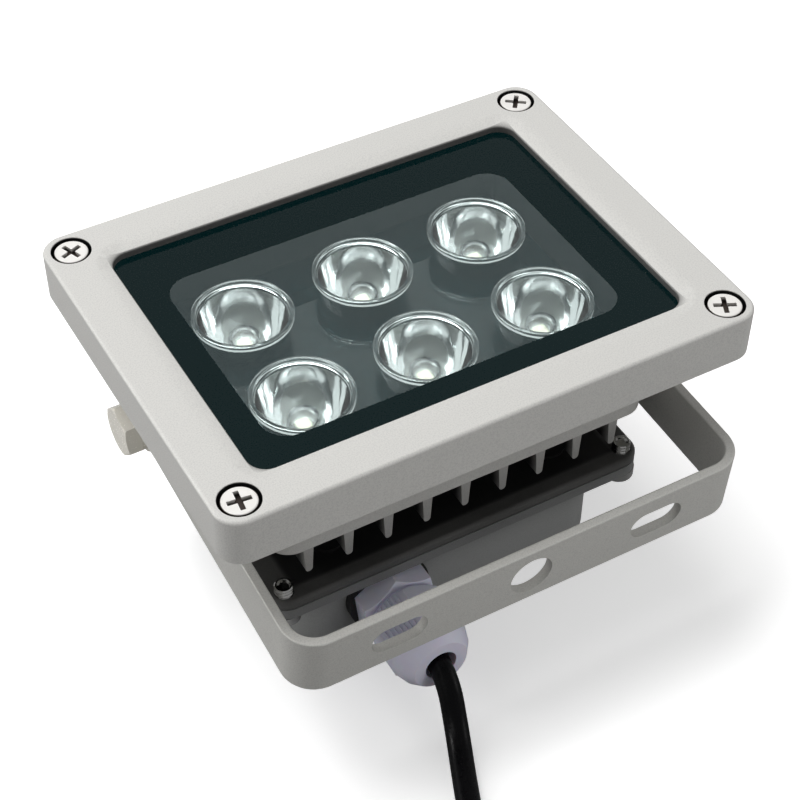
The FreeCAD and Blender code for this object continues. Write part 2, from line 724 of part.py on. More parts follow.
def ring_edges(feature, level, ring):
    """Edges of one ring of the widest flat face at a level; ring 0 is the outer one."""
    document.recompute()
    shape = feature.Shape
    flat = []
    for face in shape.Faces:
        box = face.BoundBox
        if abs(box.ZMin - level) < 1e-4 and abs(box.ZMax - level) < 1e-4:
            flat.append(face)
    widest = max(flat, key=lambda face: face.BoundBox.DiagonalLength)
    wires = sorted(widest.Wires, key=lambda wire: wire.BoundBox.DiagonalLength, reverse=True)
    names = []
    for index, edge in enumerate(shape.Edges, start=1):
        if any(edge.isSame(other) for other in wires[ring].Edges):
            names.append("Edge%d" % index)
    return names


def fillet(feature, edges, radius):
    body = feature.getParentGeoFeatureGroup()
    rounded = body.newObject("PartDesign::Fillet", body.Name + "_fillet")
    rounded.Base = (feature, edges)
    bind(rounded, "Radius", radius)
    return rounded



def turned_body(name, points):
    """A body of revolution about its own upright axis, from (radius, height) pairs."""
    body = new_body(name)
    profile = sketch_on(body, "XZ_Plane")
    polygon(profile, points)
    turn(profile)
    return body


def place(body, x="0", y="0", z="0", axis=(0, 0, 1), angle=0.0):
    turned = FreeCAD.Rotation(FreeCAD.Vector(*axis), angle)
    body.Placement = FreeCAD.Placement(FreeCAD.Vector(0, 0, 0), turned)
    for name, text in (("x", x), ("y", y), ("z", z)):
        if text != "0":
            bind(body, "Placement.Base." + name, text)
    return body


CORNERS = ((1, 1), (-1, 1), (-1, -1), (1, -1))


def corner_text(sign, spread):
    return "%d * %s / 2" % (sign, spread)


# Fasteners

def cross_head_screw(name, part):
    """A screw with a low round head and a cross recess; its seat is the head's underside."""
    body = turned_body(name, (
        ("0", "-" + part + "_length"),
        (part + "_shank", "-" + part + "_length"),
        (part + "_shank", "0"),
        (part + "_head", "0"),
        (part + "_head", part + "_head_height"),
        ("0", part + "_head_height"),
    ))
    head = body.Tip
    fillet(head, ring_edges(head, amount(part + "_head_height"), 0), "head_edge")
    slots = sketch_on(body, "XY_Plane", part + "_head_height")
    reach = amount("cross_reach") * amount(part + "_head")
    breadth = amount("cross_breadth") * amount(part + "_head")
    steps = ((1, 0), (0, 1), (-1, 0), (0, -1))
    corners = []
    for ahead_x, ahead_y in steps:
        for side in (-1, 1):
            corners.append((reach * ahead_x - side * breadth * ahead_y,
                            reach * ahead_y + side * breadth * ahead_x))
        corners.append((breadth * (ahead_x - ahead_y), breadth * (ahead_y + ahead_x)))
    points = [FreeCAD.Vector(x, y, 0) for x, y in corners]
    lines = []
    for start, end in zip(points, points[1:] + points[:1]):
        lines.append(slots.addGeometry(Part.LineSegment(start, end), False))
    for line, following in zip(lines, lines[1:] + lines[:1]):
        slots.addConstraint(Sketcher.Constraint("Coincident", line, 2, following, 1))
    wide = "cross_breadth * " + part + "_head"
    far = "cross_reach * " + part + "_head"
    for line, (x, y) in zip(lines, corners):
        for kind, value in (("DistanceX", x), ("DistanceY", y)):
            index = slots.addConstraint(Sketcher.Constraint(kind, -1, 1, line, 1, value))
            share = far if abs(abs(value) - reach) < 1e-6 else wide
            sign = "-1" if value < 0 else "1"
            bind(slots, "Constraints[%d]" % index, sign + " * " + share)
    pocket(slots, "cross_depth * " + part + "_head_height", taper=CROSS_TAPER)
    return body


def pivot_bolt(name, side):
    body = new_body(name)
    head = sketch_on(body)
    hexagon(head, "bolt_across")
    pad(head, "bolt_head_height")
    shank = sketch_on(body)
    circle(shank, "bolt_radius")
    pad(shank, "bolt_length", reverse=True)
    bevel = sketch_on(body, "XZ_Plane")
    polygon(bevel, (
        ("bolt_chamfer", "bolt_head_height"),
        ("bolt_chamfer_reach", "bolt_chamfer_level"),
        ("bolt_chamfer_reach", "bolt_head_height"),
    ))
    turn(bevel, "Groove")
    outward = FreeCAD.Rotation(FreeCAD.Vector(0, 1, 0), 90 * side)
    spin = FreeCAD.Rotation(FreeCAD.Vector(0, 0, 1), amount("bolt_turn"))
    body.Placement = FreeCAD.Placement(FreeCAD.Vector(0, 0, 0), outward * spin)
    bind(body, "Placement.Base.x", "%d * bolt_seat" % side)
    bind(body, "Placement.Base.y", "pivot_y")
    bind(body, "Placement.Base.z", "pivot_z")
    return body


def washer(name, side, radius, thickness, seat, split=False):
    body = new_body(name)
    outline = sketch_on(body)
    circle(outline, radius)
    circle(outline, "washer_hole")
    pad(outline, thickness)
    if split:
        gap = sketch_on(body, height=thickness)
        polygon(gap, (
            ("-split_half", "0"),
            ("split_half", "0"),
            ("split_half", "split_limit"),
            ("-split_half", "split_limit"),
        ))
        pocket(gap, thickness)
    outward = FreeCAD.Rotation(FreeCAD.Vector(0, 1, 0), 90 * side)
    body.Placement = FreeCAD.Placement(FreeCAD.Vector(0, 0, 0), outward)
    bind(body, "Placement.Base.x", "%d * %s" % (side, seat))
    bind(body, "Placement.Base.y", "pivot_y")
    bind(body, "Placement.Base.z", "pivot_z")
    return body


# Front

def front_bezel():
    body = new_body("front_bezel")
    outline = sketch_on(body, height="bezel_bottom")
    rounded_rectangle(outline, "bezel_length", "bezel_width", "bezel_corner")
    block = pad(outline, "bezel_depth")
    fillet(block, ring_edges(block, amount("bezel_top"), 0), "bezel_edge")
    skirt = sketch_on(body, height="bezel_bottom")
    rounded_rectangle(skirt, "skirt_length", "skirt_width", "skirt_corner")
    pocket(skirt, "skirt_height", reverse=True)
    seat = sketch_on(body, height="flange_top")
    rounded_rectangle(seat, "glass_pocket_length", "glass_pocket_width", "glass_pocket_corner")
    pocket(seat, "glass_seat", reverse=True)
    opening = sketch_on(body, height="bezel_top")
    rounded_rectangle(opening, "opening_length", "opening_width", "opening_corner")
    pocket(opening, "bezel_lip")
    slope_low = sketch_on(body, height="slope_level")
    rounded_rectangle(slope_low, "opening_length", "opening_width", "opening_corner")
    slope_high = sketch_on(body, height="bezel_top")
    rounded_rectangle(slope_high, "sloped_length", "sloped_width", "sloped_corner")
    slope = body.newObject("PartDesign::SubtractiveLoft", "front_bezel_slope")
    slope.Profile = slope_low
    slope.Sections = [slope_high]
    slope.Ruled = True
    document.recompute()
    names = []
    for index, edge in enumerate(slope.Shape.Edges, start=1):
        box = edge.BoundBox
        if abs(box.ZMin - amount("slope_level")) < 1e-4 and abs(box.ZMax - amount("slope_level")) < 1e-4:
            names.append("Edge%d" % index)
    fillet(slope, names, "rim_round")
    recess = sketch_on(body, height="bezel_top")
    four_circles(recess, "bezel_screw_recess", "bezel_screws_x", "bezel_screws_y")
    pocket(recess, "bezel_lip")
    holes = sketch_on(body, height="glass_top")
    four_circles(holes, "bezel_screw_hole", "bezel_screws_x", "bezel_screws_y")
    pocket(holes, "bezel_depth")


def bezel_screws():
    for number, ((sign_x, sign_y), angle) in enumerate(zip(CORNERS, BEZEL_SCREW_TURNS), start=1):
        body = cross_head_screw("bezel_screw_%d" % number, "bezel_screw")
        place(body, corner_text(sign_x, "bezel_screws_x"), corner_text(sign_y, "bezel_screws_y"),
              "glass_top", angle=angle)


def glass_and_gasket():
    glass = new_body("front_glass")
    outline = sketch_on(glass, height="glass_bottom")
    rounded_rectangle(outline, "glass_length", "glass_width", "glass_corner")
    pane = pad(outline, "glass_thickness")
    ground = glass.newObject("PartDesign::Chamfer", "front_glass_chamfer")
    ground.Base = (pane, ring_edges(pane, amount("glass_top"), 0))
    bind(ground, "Size", "glass_edge")

    border = new_body("printed_border")
    film = sketch_on(border, height="print_bottom")
    rounded_rectangle(film, "glass_length", "glass_width", "glass_corner")
    rounded_rectangle(film, "print_hole_length", "print_hole_width", "print_corner")
    pad(film, "print_film")

    gasket = new_body("glass_gasket")
    ring = sketch_on(gasket, height="gasket_bottom")
    rounded_rectangle(ring, "gasket_length", "gasket_breadth", "gasket_corner")
    rounded_rectangle(ring, "gasket_hole_length", "gasket_hole_breadth", "glass_corner")
    pad(ring, "gasket_thickness")


# Rear housing

def rear_housing():
    body = new_body("rear_housing")
    back = sketch_on(body, height="plate_bottom")
    rounded_rectangle(back, "plate_length", "plate_width", "plate_corner")
    plate = pad(back, "plate_thickness")
    fillet(plate, ring_edges(plate, amount("plate_top"), 0), "plate_edge")
    stem = sketch_on(body, height="plate_top")
    rounded_rectangle(stem, "pedestal_length", "pedestal_width", "pedestal_corner")
    pad(stem, "pedestal_height")
    tray = sketch_on(body, height="tray_bottom")
    rounded_rectangle(tray, "tray_length", "tray_width", "tray_corner")
    pad(tray, "tray_floor + tray_depth")
    bosses = sketch_on(body, height="plate_top")
    four_circles(bosses, "boss_radius", "boss_across", "boss_along")
    pad(bosses, "boss_height")

    fin = sketch_on(body, "XZ_Plane")
    bind(fin, "AttachmentOffset.Base.x", "fin_first")
    fin_profile(fin)
    first_fin = pad(fin, "fin_length", both_ways=True)
    fins = body.newObject("PartDesign::LinearPattern", "rear_housing_fins")
    fins.Originals = [first_fin]
    fins.Direction = (fin, ["H_Axis"])
    fins.Mode = "Extent"
    bind(fins, "Length", "fin_span")
    bind(fins, "Occurrences", "fin_count")
    body.Tip = fins

    lug = sketch_on(body, "YZ_Plane", "lug_root")
    circle(lug, "lug_radius", "pivot_y", "pivot_z")
    lug_pad = pad(lug, "lug_length")
    tapped = sketch_on(body, "YZ_Plane", "lug_face")
    circle(tapped, "bolt_tap", "pivot_y", "pivot_z")
    tapped_cut = pocket(tapped, "bolt_hole_depth")
    lugs = body.newObject("PartDesign::Mirrored", "rear_housing_lugs")
    lugs.Originals = [lug_pad, tapped_cut]
    plane = [feature for feature in body.Origin.OriginFeatures if feature.Role == "YZ_Plane"][0]
    lugs.MirrorPlane = (plane, [""])
    body.Tip = lugs

    flange = sketch_on(body, height="flange_bottom")
    rounded_rectangle(flange, "flange_length", "flange_width", "flange_corner")
    pad(flange, "flange_thickness")
    cavity = sketch_on(body, height="flange_top")
    rounded_rectangle(cavity, "cavity_length", "cavity_width", "cavity_corner")
    pocket(cavity, "tray_depth")
    groove = sketch_on(body, height="flange_top")
    rounded_rectangle(groove, "gasket_length", "gasket_breadth", "gasket_corner")
    rounded_rectangle(groove, "gasket_hole_length", "gasket_hole_breadth", "glass_corner")
    pocket(groove, "gasket_depth")
    wires = sketch_on(body, height="tray_seat")
    circle(wires, "wire_hole")
    pocket(wires, "tray_seat")
    board_taps = sketch_on(body, height="tray_seat")
    four_circles(board_taps, "board_screw_tap", "board_screws_x", "board_screws_y")
    pocket(board_taps, "board_screw_depth")
    bezel_taps = sketch_on(body, height="flange_top")
    four_circles(bezel_taps, "bezel_screw_tap", "bezel_screws_x", "bezel_screws_y")
    pocket(bezel_taps, "flange_thickness")
    cover_taps = sketch_on(body, height="plate_top")
    four_circles(cover_taps, "cover_screw_tap", "cover_screws_x", "cover_screws_y")
    pocket(cover_taps, "plate_thickness")


def fin_profile(sketch):
    """A fin's section: wide at the tray, narrower at the free end, which is half round."""
    root = amount("fin_root_half")
    tip = amount("fin_tip_half")
    top = amount("tray_bottom")
    low = amount("fin_arc_centre")
    ring = Part.Circle(FreeCAD.Vector(0, low, 0), FreeCAD.Vector(0, 0, 1), tip)
    points = [FreeCAD.Vector(-tip, low, 0), FreeCAD.Vector(tip, low, 0),
              FreeCAD.Vector(root, top, 0), FreeCAD.Vector(-root, top, 0)]
    arc = sketch.addGeometry(Part.ArcOfCircle(ring, math.pi, 2 * math.pi), False)
    right = sketch.addGeometry(Part.LineSegment(points[1], points[2]), False)
    upper = sketch.addGeometry(Part.LineSegment(points[2], points[3]), False)
    left = sketch.addGeometry(Part.LineSegment(points[3], points[0]), False)
    loop = (arc, right, upper, left)
    for shape, following in zip(loop, loop[1:] + loop[:1]):
        sketch.addConstraint(Sketcher.Constraint("Coincident", shape, 2, following, 1))
    fix_point(sketch, right, 1, "fin_tip_half", "fin_arc_centre")
    fix_point(sketch, upper, 1, "fin_root_half", "tray_bottom")
    fix_point(sketch, left, 1, "-fin_root_half", "tray_bottom")
    fix_point(sketch, arc, 1, "-fin_tip_half", "fin_arc_centre")
    constrain(sketch, "DistanceY", (-1, 1, arc, 3), "fin_arc_centre")


# Light source

def lens_places():
    """Offsets of the lens axes from the middle, as pairs of formulas."""
    places = []
    for row in range(int(amount("lens_rows"))):
        for column in range(int(amount("lens_columns"))):
            across = "(%d - (lens_columns - 1) / 2) * lens_pitch_x" % column
            along = "(%d - (lens_rows - 1) / 2) * lens_pitch_y" % row
            places.append((across, along))
    return places


def lenses_and_emitters():
    for number, (x, y) in enumerate(lens_places(), start=1):
        lens = turned_body("lens_%d" % number, (
            ("lens_led_well", "0"),
            ("lens_foot", "0"),
            ("lens_body", "lens_flange_base"),
            ("lens_flange", "lens_flange_base"),
            ("lens_flange", "lens_height"),
            ("lens_body", "lens_height"),
            ("lens_body", "lens_dish_level"),
            ("lens_front_well", "lens_dish_level"),
            ("lens_well_foot", "lens_well_level"),
            ("0", "lens_well_middle"),
            ("0", "lens_led_well_depth"),
            ("lens_led_well", "lens_led_well_depth"),
        ))
        place(lens, x, y, "board_top")
        emitter = new_body("led_emitter_%d" % number)
        package = sketch_on(emitter)
        rectangle(package, "led_size", "led_size")
        pad(package, "led_height")
        dome = sketch_on(emitter, "XZ_Plane")
        quarter_disc(dome, "led_dome", "led_height")
        turn(dome)
        place(emitter, x, y, "board_top")


def quarter_disc(sketch, radius, level):
    """A quarter disc standing on a level, with its straight side on the upright axis."""
    size = amount(radius)
    base = amount(level)
    ring = Part.Circle(FreeCAD.Vector(0, base, 0), FreeCAD.Vector(0, 0, 1), size)
    arc = sketch.addGeometry(Part.ArcOfCircle(ring, 0, math.pi / 2), False)
    middle = FreeCAD.Vector(0, base, 0)
    upright = sketch.addGeometry(Part.LineSegment(FreeCAD.Vector(0, base + size, 0), middle), False)
    level_line = sketch.addGeometry(Part.LineSegment(middle, FreeCAD.Vector(size, base, 0)), False)
    loop = (arc, upright, level_line)
    for shape, following in zip(loop, loop[1:] + loop[:1]):
        sketch.addConstraint(Sketcher.Constraint("Coincident", shape, 2, following, 1))
    sketch.addConstraint(Sketcher.Constraint("Coincident", arc, 3, level_line, 1))
    sketch.addConstraint(Sketcher.Constraint("Horizontal", level_line))
    sketch.addConstraint(Sketcher.Constraint("Vertical", upright))
    constrain(sketch, "Radius", (arc,), radius)
    fix_point(sketch, level_line, 1, "0", level)


def light_board():
    board = new_body("led_board")
    outline = sketch_on(board, height="tray_seat")
    rounded_rectangle(outline, "board_length", "board_width", "board_corner")
    circle(outline, "wire_hole")
    four_circles(outline, "board_screw_hole", "board_screws_x", "board_screws_y")
    pad(outline, "board_thickness")
    for number, (sign_x, sign_y) in enumerate(CORNERS, start=1):
        body = cross_head_screw("board_screw_%d" % number, "board_screw")
        place(body, corner_text(sign_x, "board_screws_x"), corner_text(sign_y, "board_screws_y"),
              "board_top", angle=20.0 * number)


def lens_plate():
    body = new_body("lens_plate")
    outline = sketch_on(body, height="lens_plate_bottom")
    rounded_rectangle(outline, "lens_plate_length", "lens_plate_width", "cavity_corner")
    pad(outline, "lens_plate_thickness")
    posts = sketch_on(body, height="board_top")
    four_circles(posts, "lens_post", "lens_posts_x", "lens_posts_y")
    pad(posts, "lens_post_length")
    bores = sketch_on(body, height="lens_plate_bottom")
    circle(bores, "lens_plate_bore")
    bores_cut = pocket(bores, "lens_plate_thickness", reverse=True)
    bind(bores, "AttachmentOffset.Base.x", "-(lens_columns - 1) / 2 * lens_pitch_x")
    bind(bores, "AttachmentOffset.Base.y", "-(lens_rows - 1) / 2 * lens_pitch_y")
    grid = body.newObject("PartDesign::MultiTransform", "lens_plate_grid")
    grid.Originals = [bores_cut]
    along_row = body.newObject("PartDesign::LinearPattern", "lens_plate_row")
    along_row.Direction = (bores, ["H_Axis"])
    bind(along_row, "Length", "(lens_columns - 1) * lens_pitch_x")
    bind(along_row, "Occurrences", "lens_columns")
    across_rows = body.newObject("PartDesign::LinearPattern", "lens_plate_rows")
    across_rows.Direction = (bores, ["V_Axis"])
    bind(across_rows, "Length", "(lens_rows - 1) * lens_pitch_y")
    bind(across_rows, "Occurrences", "lens_rows")
    grid.Transformations = [along_row, across_rows]
    body.Tip = grid


# Driver box

def seam_and_cover():
    gasket = new_body("box_gasket")
    ring = sketch_on(gasket, height="rim_top")
    rounded_rectangle(ring, "seam_length", "seam_width", "seam_corner")
    rounded_rectangle(ring, "box_cavity_length", "box_cavity_width", "box_cavity_corner")
    four_circles(ring, "cover_screw_hole", "cover_screws_x", "cover_screws_y")
    pad(ring, "seam_gasket")

    cover = new_body("rear_cover")
    box = sketch_on(cover)
    rounded_rectangle(box, "box_length", "box_width", "cover_corner")
    block = pad(box, "cover_depth")
    fillet(block, ring_edges(block, 0.0, 0), "cover_edge")
    rim = sketch_on(cover, height="cover_depth")
    rounded_rectangle(rim, "plate_length", "plate_width", "plate_corner")
    pad(rim, "cover_rim")
    cavity = sketch_on(cover, height="rim_top")
    rounded_rectangle(cavity, "box_cavity_length", "box_cavity_width", "box_cavity_corner")
    pocket(cavity, "box_cavity_depth")
    posts = sketch_on(cover, height="cover_wall")
    bind(posts, "AttachmentOffset.Base.y", "driver_shift")
    four_circles(posts, "driver_post", "driver_posts_x", "driver_posts_y")
    pad(posts, "driver_stand")
    taps = sketch_on(cover, height="driver_level")
    bind(taps, "AttachmentOffset.Base.y", "driver_shift")
    four_circles(taps, "driver_screw_tap", "driver_posts_x", "driver_posts_y")
    pocket(taps, "driver_tap_depth")
    holes = sketch_on(cover, height="rim_top")
    four_circles(holes, "cover_screw_hole", "cover_screws_x", "cover_screws_y")
    pocket(holes, "cover_rim")
    outlet = sketch_on(cover, "XZ_Plane", "box_wall_y")
    circle(outlet, "gland_wall_hole", "gland_offset", "gland_height")
    pocket(outlet, "gland_wall_cut")
    for number, ((sign_x, sign_y), angle) in enumerate(zip(CORNERS, COVER_SCREW_TURNS), start=1):
        body = cross_head_screw("cover_screw_%d" % number, "cover_screw")
        place(body, corner_text(sign_x, "cover_screws_x"), corner_text(sign_y, "cover_screws_y"),
              "cover_depth", axis=(1, 0, 0), angle=180.0)


def driver():
    board = new_body("driver_board")
    outline = sketch_on(board, height="driver_level")
    rounded_rectangle(outline, "driver_length", "driver_width", "board_corner")
    four_circles(outline, "driver_screw_hole", "driver_posts_x", "driver_posts_y")
    pad(outline, "board_thickness")
    place(board, y="driver_shift")
    for number, (sign_x, sign_y) in enumerate(((1, -1), (-1, 1)), start=1):
        body = cross_head_screw("driver_screw_%d" % number, "driver_screw")
        place(body, corner_text(sign_x, "driver_posts_x"),
              "driver_shift + " + corner_text(sign_y, "driver_posts_y"), "driver_top",
              angle=35.0 * number)
    choke = document.addObject("Part::Torus", "driver_choke")
    choke.Label = "driver_choke"
    bind(choke, "Radius1", "choke_ring")
    bind(choke, "Radius2", "choke_section")
    place(choke, "driver_length / 4", "driver_shift + driver_width / 6", "choke_level")
    capacitor = document.addObject("Part::Cylinder", "driver_capacitor")
    capacitor.Label = "driver_capacitor"
    bind(capacitor, "Radius", "capacitor_radius")
    bind(capacitor, "Height", "capacitor_height")
    place(capacitor, "-driver_length / 4", "driver_shift + driver_width / 5", "driver_top")
    chip = document.addObject("Part::Box", "driver_chip")
    chip.Label = "driver_chip"
    bind(chip, "Length", "chip_length")
    bind(chip, "Width", "chip_width")
    bind(chip, "Height", "chip_height")
    place(chip, "-chip_length / 2", "-chip_width - lead_radius - chip_gap", "driver_top")


# Cable gland

def gland_place(body):
    """Along the gland's axis, with the body's zero on the box's outer wall."""
    place(body, "gland_offset", "-box_wall_y", "gland_height", axis=(1, 0, 0), angle=90.0)


def turned_sketch(body, base, turned):
    """A level sketch whose first axis is turned by an angle."""
    sketch = sketch_on(body)
    upright = FreeCAD.Vector(0, 0, 1)
    sketch.AttachmentOffset = FreeCAD.Placement(FreeCAD.Vector(0, 0, 0), FreeCAD.Rotation(upright, turned))
    bind(sketch, "AttachmentOffset.Base.z", base)
    return sketch


def hex_piece(body, across, base, length, turned):
    outline = turned_sketch(body, base, turned)
    hexagon(outline, across)
    return pad(outline, length)


def crown(body, end, level):
    """Takes the corners off one end of a hexagon, as a lathe does."""
    bevel = sketch_on(body, "XZ_Plane")
    polygon(bevel, (
        ("hex_crown_start", end),
        ("hex_crown_limit", end),
        ("hex_crown_limit", level),
    ))
    turn(bevel, "Groove")


def grip(body):
    """Fine grooves along three facets of the cap nut."""
    notch = turned_sketch(body, "cap_base", GLAND_TURN + 90.0)
    polygon(notch, (
        ("grip_floor", "grip_start"),
        ("hex_crown_limit", "grip_start"),
        ("hex_crown_limit", "grip_end"),
        ("grip_floor", "grip_end"),
    ))
    first_notch = pocket(notch, "cap_hex_length", reverse=True)
    notches = body.newObject("PartDesign::MultiTransform", "gland_cap_nut_grip")
    notches.Originals = [first_notch]
    across_facet = body.newObject("PartDesign::LinearPattern", "gland_cap_nut_facet")
    across_facet.Direction = (notch, ["V_Axis"])
    bind(across_facet, "Length", "grip_span")
    bind(across_facet, "Occurrences", "grip_grooves")
    facets = body.newObject("PartDesign::PolarPattern", "gland_cap_nut_facets")
    facets.Axis = (notch, ["N_Axis"])
    facets.Angle = 360.0
    facets.Occurrences = 3
    notches.Transformations = [across_facet, facets]
    body.Tip = notches


def gland():
    washer_ring = turned_body("gland_washer", (
        ("gland_washer_hole", "0"),
        ("gland_washer", "0"),
        ("gland_washer", "gland_washer_thickness"),
        ("gland_washer_hole", "gland_washer_thickness"),
    ))
    gland_place(washer_ring)

    body = new_body("gland_body")
    hex_piece(body, "gland_across", "gland_washer_thickness", "gland_hex_length", GLAND_TURN)
    crown(body, "gland_hex_top", "gland_crown_level")
    tail = sketch_on(body, height="gland_washer_thickness")
    circle(tail, "gland_thread")
    pad(tail, "gland_washer_thickness + gland_tail", reverse=True)
    neck = sketch_on(body, height="gland_hex_top")
    circle(neck, "gland_neck")
    pad(neck, "gland_neck_length")
    bore = sketch_on(body, height="gland_neck_top")
    circle(bore, "gland_bore")
    pocket(bore, "gland_neck_top + gland_tail")
    gland_place(body)

    seal = turned_body("gland_seal", (
        ("seal_bore", "seal_base"),
        ("seal_radius", "seal_base"),
        ("seal_radius", "seal_collar_base"),
        ("seal_collar", "seal_collar_base"),
        ("seal_collar", "seal_collar_top"),
        ("seal_tip", "seal_top"),
        ("seal_bore", "seal_top"),
    ))
    gland_place(seal)

    cap = new_body("gland_cap_nut")
    hex_piece(cap, "gland_across", "cap_base", "cap_hex_length", GLAND_TURN)
    crown(cap, "cap_base", "cap_crown_level")
    dome = sketch_on(cap, "XZ_Plane")
    polygon(dome, (
        ("0", "cap_hex_top"),
        ("cap_shoulder", "cap_hex_top"),
        ("cap_shoulder", "cap_shoulder_top"),
        ("cap_dome_half", "cap_dome_waist"),
        ("cap_mouth", "cap_top"),
        ("0", "cap_top"),
    ))
    turn(dome)
    hollow = sketch_on(cap, "XZ_Plane")
    polygon(hollow, (
        ("0", "cap_base"),
        ("cap_cavity", "cap_base"),
        ("cap_cavity", "cap_cavity_top"),
        ("cap_bore", "cap_cone_top"),
        ("cap_bore", "cap_top"),
        ("0", "cap_top"),
    ))
    turn(hollow, "Groove")
    grip(cap)
    gland_place(cap)

    nut = new_body("gland_lock_nut")
    hex_piece(nut, "lock_nut_across", "-lock_nut_base", "lock_nut_thickness", 0.0)
    thread = sketch_on(nut, height="-lock_nut_base")
    circle(thread, "lock_nut_hole")
    pocket(thread, "lock_nut_thickness", reverse=True)
    gland_place(nut)


# Bracket

def mounting_bracket():
    body = new_body("mounting_bracket")
    spine = sketch_on(body)
    bent_strip_spine(spine)
    section = sketch_on(body, "YZ_Plane")
    rounded_rectangle(section, "strip_thickness", "strip_width", "strip_edge", "strip_middle", "0")
    half = body.newObject("PartDesign::AdditivePipe", "mounting_bracket_half")
    half.Profile = section
    half.Spine = (spine, ["Edge1", "Edge2", "Edge3"])
    whole = body.newObject("PartDesign::Mirrored", "mounting_bracket_whole")
    whole.Originals = [half]
    plane = [feature for feature in body.Origin.OriginFeatures if feature.Role == "YZ_Plane"][0]
    whole.MirrorPlane = (plane, [""])
    body.Tip = whole
    ends = sketch_on(body, "YZ_Plane")
    arm_end_waste(ends)
    pocket(ends, "arm_cut", both_ways=True)
    pivots = sketch_on(body, "YZ_Plane")
    circle(pivots, "arm_hole")
    pocket(pivots, "arm_cut", both_ways=True)
    fixings = sketch_on(body, "XZ_Plane")
    circle(fixings, "middle_hole")
    slot(fixings, "slot_half", "0", "slot_length", "slot_width")
    slot(fixings, "-slot_half", "0", "slot_length", "slot_width")
    pocket(fixings, "crosspiece_cut", reverse=True)
    place(body, "0", "pivot_y", "pivot_z", axis=(1, 0, 0), angle=amount("bracket_tilt"))
    bind(body, "Placement.Rotation.Angle", "bracket_tilt")


def bent_strip_spine(sketch):
    """Half of the bent strip's centre line: crosspiece, bend and one arm, which leans in."""
    start = FreeCAD.Vector(0, amount("strip_middle"), 0)
    radius = amount("arm_bend")
    centre = FreeCAD.Vector(amount("arm_bend_x"), amount("strip_middle") + radius, 0)
    tip = FreeCAD.Vector(amount("arm_tip_x"), amount("arm_tip_y"), 0)
    ring = Part.Circle(centre, FreeCAD.Vector(0, 0, 1), radius)
    bend = Part.ArcOfCircle(ring, -math.pi / 2, 0)
    crosspiece = sketch.addGeometry(Part.LineSegment(start, bend.StartPoint), False)
    corner = sketch.addGeometry(bend, False)
    arm = sketch.addGeometry(Part.LineSegment(bend.EndPoint, tip), False)
    sketch.addConstraint(Sketcher.Constraint("Tangent", crosspiece, 2, corner, 1))
    sketch.addConstraint(Sketcher.Constraint("Tangent", corner, 2, arm, 1))
    sketch.addConstraint(Sketcher.Constraint("Horizontal", crosspiece))
    fix_point(sketch, crosspiece, 1, "0", "strip_middle")
    constrain(sketch, "Radius", (corner,), "arm_bend")
    constrain(sketch, "DistanceX", (-1, 1, corner, 3), "arm_bend_x")
    fix_point(sketch, arm, 2, "arm_tip_x", "arm_tip_y")


def arm_end_waste(sketch):
    """What is cut away around the half-round end of an arm."""
    radius = amount("arm_tip_y")
    limit = amount("arm_end_limit")
    ring = Part.Circle(FreeCAD.Vector(0, 0, 0), FreeCAD.Vector(0, 0, 1), radius)
    arc = sketch.addGeometry(Part.ArcOfCircle(ring, -math.pi / 2, math.pi / 2), False)
    points = [FreeCAD.Vector(0, radius, 0), FreeCAD.Vector(0, limit, 0), FreeCAD.Vector(limit, limit, 0),
              FreeCAD.Vector(limit, -limit, 0), FreeCAD.Vector(0, -limit, 0),
              FreeCAD.Vector(0, -radius, 0)]
    lines = [sketch.addGeometry(Part.LineSegment(start, end), False)
             for start, end in zip(points, points[1:])]
    for line, following in zip(lines, lines[1:]):
        sketch.addConstraint(Sketcher.Constraint("Coincident", line, 2, following, 1))
    sketch.addConstraint(Sketcher.Constraint("Coincident", arc, 2, lines[0], 1))
    sketch.addConstraint(Sketcher.Constraint("Coincident", lines[-1], 2, arc, 1))
    fix_point(sketch, lines[0], 1, "0", "arm_tip_y")
    fix_point(sketch, lines[1], 1, "0", "arm_end_limit")
    fix_point(sketch, lines[2], 1, "arm_end_limit", "arm_end_limit")
    fix_point(sketch, lines[3], 1, "arm_end_limit", "-arm_end_limit")
    fix_point(sketch, lines[4], 1, "0", "-arm_end_limit")
    fix_point(sketch, arc, 1, "0", "-arm_tip_y")
    sketch.addConstraint(Sketcher.Constraint("PointOnObject", arc, 3, -2))


def pivots():
    for side, word in ((-1, "left"), (1, "right")):
        pivot_bolt("pivot_bolt_" + word, side)
        washer("flat_washer_" + word, side, "washer_radius", "washer_thickness", "washer_seat")
        washer("spring_washer_" + word, side, "spring_washer_radius", "spring_washer_thickness",
               "spring_seat", split=True)


# Cable and wires

def route_wire(name, points):
    """Straight runs joined by tangent arcs, each as large as its two runs allow."""
    corners = [FreeCAD.Vector(*point) for point in points]
    edges = []
    start = corners[0]
    radii = []
    for before, corner, after in zip(corners, corners[1:], corners[2:]):
        run_in = corner - before
        run_out = after - corner
        half_turn = run_in.getAngle(run_out) / 2
        reach = 0.45 * min(run_in.Length, run_out.Length)
        radius = reach / math.tan(half_turn)
        radii.append(round(radius, 2))
        ahead_in = FreeCAD.Vector(run_in).normalize()
        ahead_out = FreeCAD.Vector(run_out).normalize()
        inward = (ahead_out - ahead_in).normalize()
        arc_start = corner - ahead_in * reach
        arc_end = corner + ahead_out * reach
        arc_middle = corner + inward * (radius / math.cos(half_turn) - radius)
        edges.append(Part.LineSegment(start, arc_start).toShape())
        edges.append(Part.Arc(arc_start, arc_middle, arc_end).toShape())
        start = arc_end
    edges.append(Part.LineSegment(start, corners[-1]).toShape())
    print(name, "radii", radii)
    return Part.Wire(edges)


